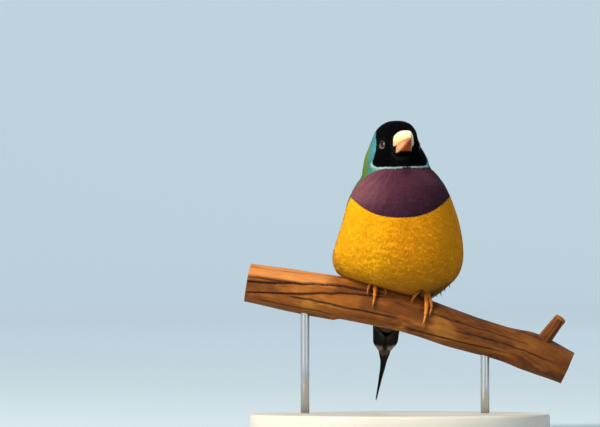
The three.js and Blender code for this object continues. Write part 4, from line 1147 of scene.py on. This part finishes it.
# tail: pairs of vanes, the middle two drawn out into pins
tail = {
    "root": [-4.4, 21.5, 54], "end": [-6.0, 33.0, 29.5], "pin": [-9.2, 39.0, 11.8], "pairs": 6,
    "rootSpread": 4.2, "endSpread": 2.2, "step": 0.42, "grading": 0.9, "width": 4.9, "thick": 0.16,
    "pinWidth": 2.8, "pinTip": 0.22, "pinsFrom": 0.36,  # of the middle pair's length
    "colours": {"vane": "#090808", "under": "#54463c", "fringe": "#bf9f90", "shaft": "#14100d"},
}


# middle line of one feather, its share t from root to tip
def tailLine(pair, side, t):
    outward = (pair + 0.5) / tail["pairs"]
    root, end, pin = (np.array(tail[key], float) for key in ("root", "end", "pin"))
    root = root + [side * outward * tail["rootSpread"], 0, 0]
    end = end + [side * outward * tail["endSpread"], 0, 0]
    end = end + (root - end) * pair * tail["grading"] / np.linalg.norm(root - end)
    under = np.array([0, -pair * tail["step"], -pair * tail["step"] * 0.4])
    pin = pin + [side * 0.15, 0, 0]
    line = [root, end] if pair else [root, end, pin + (end - pin) * 0.45 + [0.15, 0, 0], pin]
    line = np.array([p + under for p in line])
    line = np.concatenate([[2 * line[0] - line[1]], line, [2 * line[-1] - line[-2]]])
    return readRows(line, 1 + t[:, 0] * (len(line) - 3))[:, None], root - end


# each feather: line + u half sideways, its end rounded by 0.035 of its length times u^2,
# each outer pair lower than the last
def tailPiece():
    rows, columns = 34, 9
    t = 1 - (1 - np.linspace(0, 1, rows)[:, None]) ** 1.5  # closer together towards the tip
    u = np.linspace(-1, 1, columns)[None]
    tops, bottoms, colours, uvs = [], [], [], []
    tint = {key: toLinear(code) for key, code in tail["colours"].items()}
    for number in range(tail["pairs"] * 2):
        pair, side = number // 2, 1 if number % 2 else -1
        middle, back = tailLine(pair, side, t)
        bladeEnd = 1 if pair else tail["pinsFrom"]
        reach = np.minimum(1, t / bladeEnd)
        rounded = np.sqrt(np.maximum(0.04, 1 - np.maximum(0, (reach - 0.84) / 0.16) ** 2.2))
        half = np.minimum(1, 0.45 + 2.2 * reach) * rounded * tail["width"] / 2
        if not pair:
            share = np.maximum(0, (t - bladeEnd) / (1 - bladeEnd)) ** 0.5
            pinHalf = (tail["pinWidth"] + (tail["pinTip"] - tail["pinWidth"]) * share) / 2
            half = np.maximum(half * (t < bladeEnd) * 0.9, pinHalf)
        thick = tail["thick"] * (1 - 0.5 * u**2) + 0 * half
        lift = -0.2 * u * side + 0.12 * (1 - np.abs(u)) + 0 * half
        none = 0 * half * u
        place = middle + np.stack([u * half, none, none], -1) + (0.035 * reach * u**2)[..., None] * back
        tops.append(place + np.stack([none, lift + thick, none], -1))
        bottoms.append(place + np.stack([none, lift, none], -1))
        # dusky brown, black towards the end and in the outer vanes, with a pinkish buff fringe at the tip
        dark = ease(u * side, -0.1, 0.6) * (pair > 3) + 0.5 * ease(np.abs(u), 0.7, 1.0)
        dark = dark + (ease(t + 0.1 * u * side, 0.5, 0.85) if pair else ease(t + 0 * u, 0.24, 0.36))
        colour = blend(tint["under"], tint["vane"], np.clip(dark, 0, 1))
        tip = ease(t + 0.02 * u * side - 0.03 * u**2, 0.9,
                   0.98) * (0.8 if pair > 3 else 0.25 if pair else 0)
        colour = blend(colour, tint["fringe"], tip)
        colours.append(blend(colour, tint["shaft"], (1 - ease(np.abs(u) + 0 * t, 0.03, 0.14)) * 0.6))
        uvs.append(np.stack([u * half, (t * 28 - np.abs(u) * 2) / wings["vaneUnit"]], -1))
    tops, bottoms, colours, uvs = (np.stack(a) for a in (tops, bottoms, colours, uvs))
    joinVanes("tail_plumes", bottoms, tops, colours, uvs, ("tail",))


tailPiece()
print("tail made")


# feet: toes and claws that follow the perch's skin, as in the solids
feet = {  # each toe: sideways spread, and the angles round the perch where it ends and where its claw ends
    "right": {"hub": -12.8, "lift": 0.4, "toes": {
        "outer": [-1.4, 48, 27], "middle": [1.7, 26, -6], "inner": [5.4, 60, 38], "hind": [0.6, 166, 192]}},
    "left": {"hub": 5.8, "lift": 2.0, "toes": {
        "outer": [5.0, 38, 14], "middle": [3.7, 12, -24], "inner": [-2.8, 54, 30],
        "hind": [-0.6, 166, 192]}},
}
footSizes = {
    "hubAngle": 84, "toe": 0.96, "toeEnd": 0.7, "claw": 0.5, "clawTip": 0.12, "tarsus": 0.95,
    "tarsusLength": 9,
    "scute": 0.75, "sides": 26,
    # scute, its edge, crease, claw, claw tip
    "colours": ["#b86008", "#d98a1e", "#6a3408", "#b8701e", "#5e3414"],
}


# angle by even steps; sideways spread sin(90 deg share 1.25);
# height = gap + 0.9 r + lift cos(90 deg share 1.6)
def toePath(foot, toe, fromAngle, toAngle, radius, steps):
    spread, _, claw = toe
    angle = np.linspace(fromAngle, toAngle, steps)
    share = (angle - footSizes["hubAngle"]) / (claw - footSizes["hubAngle"])
    x = foot["hub"] + spread * np.sin(np.pi / 2 * np.minimum(1, share * 1.25))
    lift = foot["lift"] * np.cos(np.pi / 2 * np.minimum(1, share * 1.6))
    above = 0.3 + radius(share) * 0.9 + lift
    return perchSkin(perchShare(x), angle, above), perchSkin(perchShare(x), angle, above + 1)


# scaly leg skin: plates of horn-like keratin over flesh, satin, with dark creases between
def scuteMaterial():
    material, tree, shader = newMaterial("scaled_leg_skin", {"Roughness": 0.48})
    pigment = addNode(tree, "ShaderNodeAttribute", attribute_name="pigment")
    place = addNode(tree, "ShaderNodeTexCoord")
    cells = addNode(tree, "ShaderNodeTexVoronoi", {"Vector": place.outputs["Object"], "Scale": 2200.0})
    bump = addNode(tree, "ShaderNodeBump",
                   {"Height": cells.outputs["Distance"], "Strength": 0.25, "Distance": 0.0001})
    plugIn(tree, shader, {"Base Color": pigment.outputs["Color"], "Normal": bump.outputs["Normal"]})
    return material


# a limb's tube of radius start to end with swollen joints; its upper side has plates
# a scute long, sin(pi beat)^0.5 high
def limbTube(path, hint, start, end, tints):
    share = np.linspace(0, 1, len(path))[:, None]
    length = np.linalg.norm(np.diff(path, axis=0), axis=-1).sum()
    around = np.linspace(0, 2 * np.pi, footSizes["sides"], endpoint=False)[None]
    beat = (share * length / footSizes["scute"]) % 1
    upper = ease(np.sin(around), -0.2, 0.4)
    plate = np.sin(np.pi * beat) ** 0.5 * upper
    joint = 1 + 0.09 * np.cos(share * 6 * np.pi)
    r = (start + (end - start) * share) * joint * (0.965 + 0.05 * plate)
    r = r * np.sqrt(np.clip(1 - (np.maximum(0, share - 0.94) / 0.062) ** 2, 0.02, 1))
    made, faces = closedTube(carried(path, r, hint, footSizes["sides"]))
    colour = blend(tints[0], tints[1], plate * 0.5 * (0.4 + 0.6 * beat))
    colour = blend(colour, tints[2], upper * (1 - ease(np.sin(np.pi * beat), 0.0, 0.35)) * 0.75)
    colour = blend(colour, tints[2], (1 - upper) * 0.25)
    return made, [f[:, ::-1] for f in faces], withEnds(colour)


# the claw starts 2 degrees inside its toe and bows out by 0.35 sin(pi share)
def clawPiece(name, foot, toe, horn, tints):
    towards = np.sign(toe[2] - toe[1])
    r = lambda share: footSizes["claw"] + 0 * share
    path, outside = toePath(foot, toe, toe[1] - 2 * towards, toe[2], r, 40)
    share = np.linspace(0, 1, 40)
    thick = footSizes["claw"] + (footSizes["clawTip"] - footSizes["claw"]) * share**1.3
    path = path + unit(outside - path) * (0.35 * np.sin(np.pi * share))[:, None]
    made, faces = closedTube(carried(path, thick, outside - path, 18, 1.15))
    colour = blend(tints[3], tints[4], ease(share, 0.35, 1.0)[:, None] + np.zeros((40, 18)))
    makePiece(f"nail_{name}", made, [f[:, ::-1] for f in faces], horn, (f"claw_{name}",),
              colour=withEnds(colour))


def footPieces():
    skinOfLeg = scuteMaterial()
    horn = hornMaterial()
    tints = [toLinear(code) for code in footSizes["colours"]]
    toeRadius = lambda share: footSizes["toe"] + (footSizes["toeEnd"] - footSizes["toe"]) * share
    for name, foot in feet.items():
        hub = perchSkin(perchShare(foot["hub"]), footSizes["hubAngle"],
                        0.3 + footSizes["toe"] + foot["lift"])
        tubes = []
        for toe in foot["toes"].values():
            path, outside = toePath(foot, toe, footSizes["hubAngle"], toe[1], toeRadius, 90)
            tubes.append(limbTube(path, outside - path, footSizes["toe"], footSizes["toeEnd"], tints))
        # the tarsus runs up into the belly's feathers, slightly bowed
        q = np.linspace(0, 1, 60)[:, None]
        line = hub + q * np.array([0, 2.2, footSizes["tarsusLength"]]) + np.array([0, -0.4,
                                                                                   0]) * np.sin(np.pi * q)
        hint = np.tile([0, -1.0, 0.3], (60, 1))
        tubes.append(limbTube(line, hint, footSizes["tarsus"], footSizes["tarsus"] * 1.2, tints))
        # the swollen joint where the toes meet
        p = np.linspace(0.05, np.pi - 0.05, 20)[:, None]
        a = np.linspace(0, 2 * np.pi, footSizes["sides"], endpoint=False)[None]
        ball = np.stack([np.sin(p) * np.cos(a), np.sin(p) * np.sin(a), np.cos(p) + 0 * a], -1)
        made, faces = closedTube(hub + footSizes["toe"] * 1.35 * ball)
        tubes.append((made, faces, np.tile(tints[0], (len(made), 1))))
        sizes = np.cumsum([0] + [len(tube[0]) for tube in tubes])
        faces = [f + size for tube, size in zip(tubes, sizes) for f in tube[1]]
        points, colours = (np.concatenate([tube[k] for tube in tubes]) for k in (0, 2))
        makePiece(f"foot_{name}", points, faces, skinOfLeg, (f"leg_{name}",), colour=colours)
        for toeName, toe in foot["toes"].items():
            clawPiece(f"{name}_{toeName}", foot, toe, horn, tints)


footPieces()
print("feet made")


# perch: weathered bare wood with raised grain and long splits

# weathered hardwood without its bark: dry and matt, grain about 0.3 mm wide and 6 mm long along the branch
def woodMaterial():
    material, tree, shader = newMaterial("weathered_bare_wood",
                                         {"Roughness": 0.78, "Specular IOR Level": 0.2})
    pigment = addNode(tree, "ShaderNodeAttribute", attribute_name="pigment")
    grainUv = addNode(tree, "ShaderNodeUVMap", uv_map="grain")
    stretched = addNode(tree, "ShaderNodeMapping",
                        {"Vector": grainUv.outputs["UV"], "Scale": (0.16, 3.0, 1.0)})
    fibres = addNode(tree, "ShaderNodeTexNoise", {
        "Vector": stretched.outputs["Vector"], "Scale": 1.0, "Detail": 6.0, "Roughness": 0.62})
    tone = addNode(tree, "ShaderNodeMapRange", {
        "Value": fibres.outputs["Fac"], "From Min": 0.3, "From Max": 0.7, "To Min": 0.8, "To Max": 1.18})
    shade = addNode(tree, "ShaderNodeVectorMath", {0: pigment.outputs["Color"], 1: tone.outputs["Result"]},
                    operation="MULTIPLY")
    bump = addNode(tree, "ShaderNodeBump",
                   {"Height": fibres.outputs["Fac"], "Strength": 0.6, "Distance": 0.0004})
    plugIn(tree, shader, {"Base Color": shade.outputs[0], "Normal": bump.outputs["Normal"]})
    return material


# depth e^-(distance / half width)^2 in mm along each split, which wanders and closes towards its ends
def splitDepth(share, degrees, s):
    crack = np.zeros_like(s)
    for number, (angle, last, start, stop, depth, half) in enumerate(perch["splits"]):
        drift = angle + (last - angle) * np.clip((share - start) / (stop - start), 0, 1)
        drift = drift + 4 * softNoise(s / 30 + number * 5, 0 * s + number, 30 + number)
        drift = drift + 1.5 * softNoise(s / 4, 0 * s + number, 50 + number)
        far = np.abs((degrees - drift + 180) % 360 - 180) / 180 * np.pi * perch["meanRadius"]
        gape = 1 - ease(share, stop - 0.08, stop)
        if start > 0:
            gape = ease(share, start, start + 0.04) * gape
        crack = np.maximum(crack, depth * gape * np.exp(-(far / (half * (0.7 + 0.5 * gape))) ** 2))
    return crack


# a cut end, drawn in towards its middle by q, with growth rings sin(34 q)
def cutEnd(edge, direction, degrees, ground):
    middle = edge.mean(0)
    q = np.linspace(0.93, 0.0, 16)[:, None, None] + 1e-3
    disc = middle + (edge[None] - middle) * q
    along = unit(perchMiddle(np.float64(1.0)) - perchMiddle(np.float64(0.98))) * direction
    disc = disc + along * (0.25 * (1 - q) + 0.06 * np.sin(q * 34))
    uneven = 0.8 * softNoise(degrees / 40 + 5, 0 * degrees, 25)[..., None]
    colour = ground * (0.75 + 0.2 * np.sin(q * 34 + uneven)) + 0 * disc
    uv = np.stack([disc[..., 2] * 2, disc[..., 1]], -1)
    return [v[::direction] for v in (disc, colour, uv)]


# the stub: a tube from twigFrom to twigTo that narrows as q^0.45, with grain and one split
def twigStub(tints):
    start, stop = np.array(perch["twigFrom"], float), np.array(perch["twigTo"], float)
    wide, narrow = perch["twigRadii"]
    q = np.linspace(0, 1, 90)[:, None]
    around = np.linspace(0, 2 * np.pi, 64, endpoint=False)[None]
    grain = softNoise(q * 3, around * 3.2, 26) * 0.16 + softNoise(q * 6, around * 8, 27) * 0.08
    radius = wide + (narrow - wide) * q**0.45 + grain - 0.25 * np.exp(-((around - 2.2) / 0.12) ** 2)
    radius = radius * np.sqrt(np.clip(1 - np.maximum(0, (q - 0.965) / 0.036) ** 2, 0.05, 1))
    twig, faces = closedTube(carried(start + (stop - start) * q, radius, np.array([0, -1.0, 0]), 64))
    colour = blend(tints[0], tints[1], ease(grain, -0.15, 0.15)) * 0.65
    colour[-6:] = tints[1]
    uv = np.stack([q * 17 + 0 * around, around * 3 + 0 * q], -1)
    return twig, faces, withEnds(colour), withEnds(uv)


# perchSkin raised by fibres and lowered along each split, with a step where a slab has come off below
def perchPiece():
    tints = [toLinear(code) for code in perch["colours"]]
    share = np.linspace(0.0, 1.0, perch["rings"])[:, None]
    degrees = np.linspace(-180, 180, perch["sides"], endpoint=False)[None]
    s = share * perch["length"] + 0 * degrees  # mm along
    arc = degrees / 180 * np.pi * perch["meanRadius"] + 0 * share  # mm round
    wander = 2.2 * softNoise(s / 26, 0 * s + 3, 21)
    # at the back, where the angles meet, the noise is the same on both sides
    seam = ease(np.abs(degrees), 150, 180)

    def wave(x, y, seed):
        return softNoise(x, y + 24, seed) * (1 - seam) + softNoise(x, 0 * y + 9, seed) * seam

    fibre = 0.6 * wave(s / 24, (arc + wander) / 1.1, 22) + 0.4 * wave(s / 11, (arc + wander) / 0.5, 23)
    broad = wave(s / 30, arc / 6, 24)
    crack = splitDepth(share, degrees, s)
    low = (1 - ease(np.abs(degrees + 95), 30, 60)) * ease(share, 0.26, 0.285) * (1 - ease(share, 0.42, 0.6))
    above = perch["fibre"] * fibre + 0.18 * broad - crack - 0.9 * low
    points = perchSkin(share, degrees, above)
    # dark hollows and tan ridges, patches 4 to 12 mm long, darker towards the bird's left,
    # and a painted highlight on top of the right end, where the light falls
    tone = np.clip(0.5 + 0.16 * fibre + 0.2 * broad + 0.12 * wave(s / 2.2, arc / 0.9, 31), 0, 1)
    colour = blend(tints[0], tints[1], ease(tone, 0.1, 0.6))
    colour = blend(colour, tints[2], ease(tone, 0.6, 1.0) * (1 - 0.75 * ease(share, 0.35, 0.7)))
    patch = 0.7 * wave(s / 12, arc / 4.2, 28) + 0.55 * wave(s / 4.5, arc / 2.4, 32)
    colour = blend(colour, tints[0], 0.6 * ease(-patch, 0.1, 0.7))
    colour = blend(colour, tints[2], 0.5 * ease(patch, 0.15, 0.7) * (1 - 0.6 * ease(share, 0.4, 0.8)))
    # a painted highlight on the top of the right end, where the light falls
    paintedHighlight = ease(degrees, 22, 30) * (1 - ease(degrees, 100, 120)) * (1 - ease(share, 0.2, 0.27))
    colour = blend(colour, tints[4], 0.75 * paintedHighlight)
    colour = colour * (1 - 0.42 * ease(share, 0.3, 0.75))[..., None]
    # the splits painted near black: painted shade in their depth
    colour = blend(colour, tints[3], np.clip(crack / 0.5, 0, 1) * 0.9)
    whole = zip(cutEnd(points[0], -1, degrees, tints[1]), (points, colour, np.stack([s, arc], -1)),
                cutEnd(points[-1], 1, degrees, tints[1]))
    rings, colour, uv = (np.concatenate(parts) for parts in whole)
    made, faces = closedTube(rings)
    twig, twigFaces, twigColour, twigUv = twigStub(tints)
    faces = [f[:, ::-1] for f in faces] + [f[:, ::-1] + len(made) for f in twigFaces]
    makePiece("branch", np.concatenate([made, twig]), faces, woodMaterial(),
              ("perch_branch",),
              colour=np.concatenate([withEnds(colour), twigColour]),
              uv=np.concatenate([withEnds(uv), twigUv]), uvName="grain")


perchPiece()
print("perch made")


# stand: painted board and brushed steel rods
stand = {
    "half": [60, 42], "height": 7.5, "bevel": 1.2, "rodRadius": 1.75, "rods": {"left": -38, "right": 34},
    "paint": ["#bdbab2", "#cbc8c0"], "steel": "#b9bbbd",
}


# sprayed satin enamel on board: even, with a fine orange peel
def boardMaterial():
    material, tree, shader = newMaterial("satin_painted_board", {"Roughness": 0.38})
    place = addNode(tree, "ShaderNodeTexCoord")
    peel = addNode(tree, "ShaderNodeTexNoise",
                   {"Vector": place.outputs["Object"], "Scale": 900.0, "Detail": 2.0})
    cloud = addNode(tree, "ShaderNodeTexNoise",
                    {"Vector": place.outputs["Object"], "Scale": 30.0, "Detail": 3.0})
    tint = addNode(tree, "ShaderNodeValToRGB", {"Fac": cloud.outputs["Fac"]})
    for element, code in zip(tint.color_ramp.elements, stand["paint"]):
        element.color = (*toLinear(code), 1)
    bump = addNode(tree, "ShaderNodeBump",
                   {"Height": peel.outputs["Fac"], "Strength": 0.12, "Distance": 0.0002})
    plugIn(tree, shader, {"Base Color": tint.outputs["Color"], "Normal": bump.outputs["Normal"]})
    return material


# drawn steel rod: fine scratches along its length
def steelMaterial():
    material, tree, shader = newMaterial("brushed_steel_rod", {
        "Base Color": (*toLinear(stand["steel"]), 1), "Metallic": 1.0})
    place = addNode(tree, "ShaderNodeTexCoord")
    scratch = addNode(tree, "ShaderNodeMapping",
                      {"Vector": place.outputs["Object"], "Scale": (9000.0, 9000.0, 160.0)})
    lines = addNode(tree, "ShaderNodeTexNoise",
                    {"Vector": scratch.outputs["Vector"], "Scale": 1.0, "Detail": 2.0})
    rough = addNode(tree, "ShaderNodeMapRange",
                    {"Value": lines.outputs["Fac"], "To Min": 0.22, "To Max": 0.42})
    plugIn(tree, shader, {"Roughness": rough.outputs["Result"]})
    return material


# board: a profile (r, z) with a rounded upper edge carried round the oval;
# rods: rings of one radius up into the perch
def standPieces():
    (wide, deep), bevel, height = stand["half"], stand["bevel"], stand["height"]
    turn = np.linspace(0, np.pi / 2, 8)
    profile = [[wide - 0.8, 0.0], [wide - 0.3, 0.15], [wide, 0.6]]
    profile += [[wide - bevel + bevel * np.cos(a), height - bevel + bevel * np.sin(a)] for a in turn]
    profile = np.array(profile + [[40, height], [20, height]])
    a = np.linspace(0, 2 * np.pi, 180, endpoint=False)
    inset = (wide - profile[:, 0])[:, None]
    x = np.maximum(wide - inset, 0.5) * np.cos(a)
    y = np.maximum(deep - inset * np.where(inset > 2, 0.7, 1.0), 0.5) * np.sin(a)
    made, faces = closedTube(np.stack([x, y, profile[:, 1:] + 0 * x], -1))
    makePiece("board", made, faces, boardMaterial(), ("stand_base",))
    steel = steelMaterial()
    a = np.linspace(0, 2 * np.pi, 48, endpoint=False)
    for name, x in stand["rods"].items():
        middle = perchMiddle(perchShare(x))
        z = np.concatenate([[0.3, 0.3], np.linspace(0.45, 1, 30) * (middle[2] - height - 4.2)]) + height
        r = np.full(len(z), stand["rodRadius"])
        r[0] -= 0.2
        rings = np.stack([x + r[:, None] * np.cos(a), middle[1] + r[:, None] * np.sin(a),
                          z[:, None] + 0 * a], -1)
        made, faces = closedTube(rings)
        makePiece(f"rod_{name}", made, faces, steel, (f"stand_rod_{name}",))


standPieces()
print("stand made")


# floor, backdrop, lights and camera
stage = {
    "card": ["#b6c9d5", "#c0d2dd"], "glow": [0.0, 0.57],  # a matt card that glows, as painted light, more the further it lies from the model
    "glowFrom": 0.8, "glowTo": 5.0,  # m from the model
    "floor": 5000, "sweep": 4000,  # mm: the flat part's radius, and that of the rise round it
    "sky": "#e4eaf0", "skyStrength": 0.42,
    "lamps": {  # place in m, size in m, power in W, colour
        "key": [(-2.25, -2.16, 1.9), 1.8, 240, "#fff3e0"],
        "fill": [(2.4, -2.6, 0.8), 2.2, 23, "#f2efe8"],
        "rim": [(0.7, 2.2, 2.2), 1.5, 26, "#eaf2fa"],
    },
    "aim": [0, 0, 0.08],  # where the lamps point, m
    "camera": [(-0.040, -3.2, 0.0876), 480],  # place in m, focal length in mm
}


# matt card, pale blue grey like an overcast sky, that glows more the further it lies from the model
def cardMaterial():
    material, tree, shader = newMaterial("pale_floor_card", {
        "Emission Strength": 1.0, "Roughness": 0.95, "Specular IOR Level": 0.1})
    place = addNode(tree, "ShaderNodeTexCoord")
    cloud = addNode(tree, "ShaderNodeTexNoise",
                    {"Vector": place.outputs["Object"], "Scale": 0.5, "Detail": 1.0})
    tint = addNode(tree, "ShaderNodeValToRGB", {"Fac": cloud.outputs["Fac"]})
    for element, code in zip(tint.color_ramp.elements, stage["card"]):
        element.color = (*toLinear(code), 1)
    far = addNode(tree, "ShaderNodeVectorMath", {0: place.outputs["Object"]}, operation="LENGTH")
    share = addNode(tree, "ShaderNodeMapRange", {
        "Value": far.outputs["Value"], "From Min": stage["glowFrom"], "From Max": stage["glowTo"],
        "To Min": stage["glow"][0], "To Max": stage["glow"][1]}, interpolation_type="SMOOTHSTEP")
    glow = addNode(tree, "ShaderNodeVectorMath", {0: tint.outputs["Color"], 1: share.outputs["Result"]},
                   operation="MULTIPLY")
    plugIn(tree, shader, {"Base Color": tint.outputs["Color"], "Emission Color": glow.outputs[0]})
    return material


# the floor is a wide dish: profile (r, z) = (r, 0), then (floor + sweep sin a,
# sweep (1 - cos a)), turned about z
def backdropPiece():
    rise = np.linspace(0, 0.7, 30)
    flat = [[50, 0], [300, 0], [1000, 0], [3000, 0]]
    swept = np.stack([stage["floor"] + stage["sweep"] * np.sin(rise), stage["sweep"] * (1 - np.cos(rise))],
                     -1)
    profile = np.concatenate([flat, swept])
    sides = 96
    a = np.linspace(0, 2 * np.pi, sides, endpoint=False)
    rings = np.stack([profile[:, :1] * np.cos(a), profile[:, :1] * np.sin(a), profile[:, 1:] + 0 * a], -1)
    points = np.concatenate([rings.reshape(-1, 3), [[0, 0, 0]]])
    j = np.arange(sides)
    fan = np.stack([j, np.full(sides, len(points) - 1), (j + 1) % sides], -1)
    faces = gridFaces(len(profile), sides, True).tolist() + fan.tolist()
    mesh = bpy.data.meshes.new("backdrop")
    mesh.from_pydata((points * mm).tolist(), [], [f[::-1] for f in faces])
    mesh.shade_smooth()
    mesh.materials.append(cardMaterial())
    backdrop = bpy.data.objects.new("backdrop", mesh)
    bpy.context.scene.collection.objects.link(backdrop)


def lightsAndCamera():
    for name, (at, size, power, tint) in stage["lamps"].items():
        light = bpy.data.lights.new(name, "AREA")
        light.shape = "DISK"
        light.size = size
        light.energy = power
        light.color = toLinear(tint)
        lamp = bpy.data.objects.new(name, light)
        bpy.context.scene.collection.objects.link(lamp)
        lamp.location = at
        aim = Vector(np.array(stage["aim"]) - np.array(at))
        lamp.rotation_euler = aim.to_track_quat("-Z", "Y").to_euler()
    world = bpy.data.worlds.new("sky")
    bpy.context.scene.world = world
    world.use_nodes = True
    sky = world.node_tree.nodes["Background"].inputs
    sky["Color"].default_value = (*toLinear(stage["sky"]), 1)
    sky["Strength"].default_value = stage["skyStrength"]

    view = bpy.data.cameras.new("camera")
    view.lens = stage["camera"][1]
    view.sensor_width = 36
    view.clip_end = 40
    camera = bpy.data.objects.new("camera", view)
    camera.location = stage["camera"][0]
    camera.rotation_euler = (np.pi / 2, 0, 0)
    bpy.context.scene.collection.objects.link(camera)
    bpy.context.scene.camera = camera


backdropPiece()
lightsAndCamera()
print("stage made")
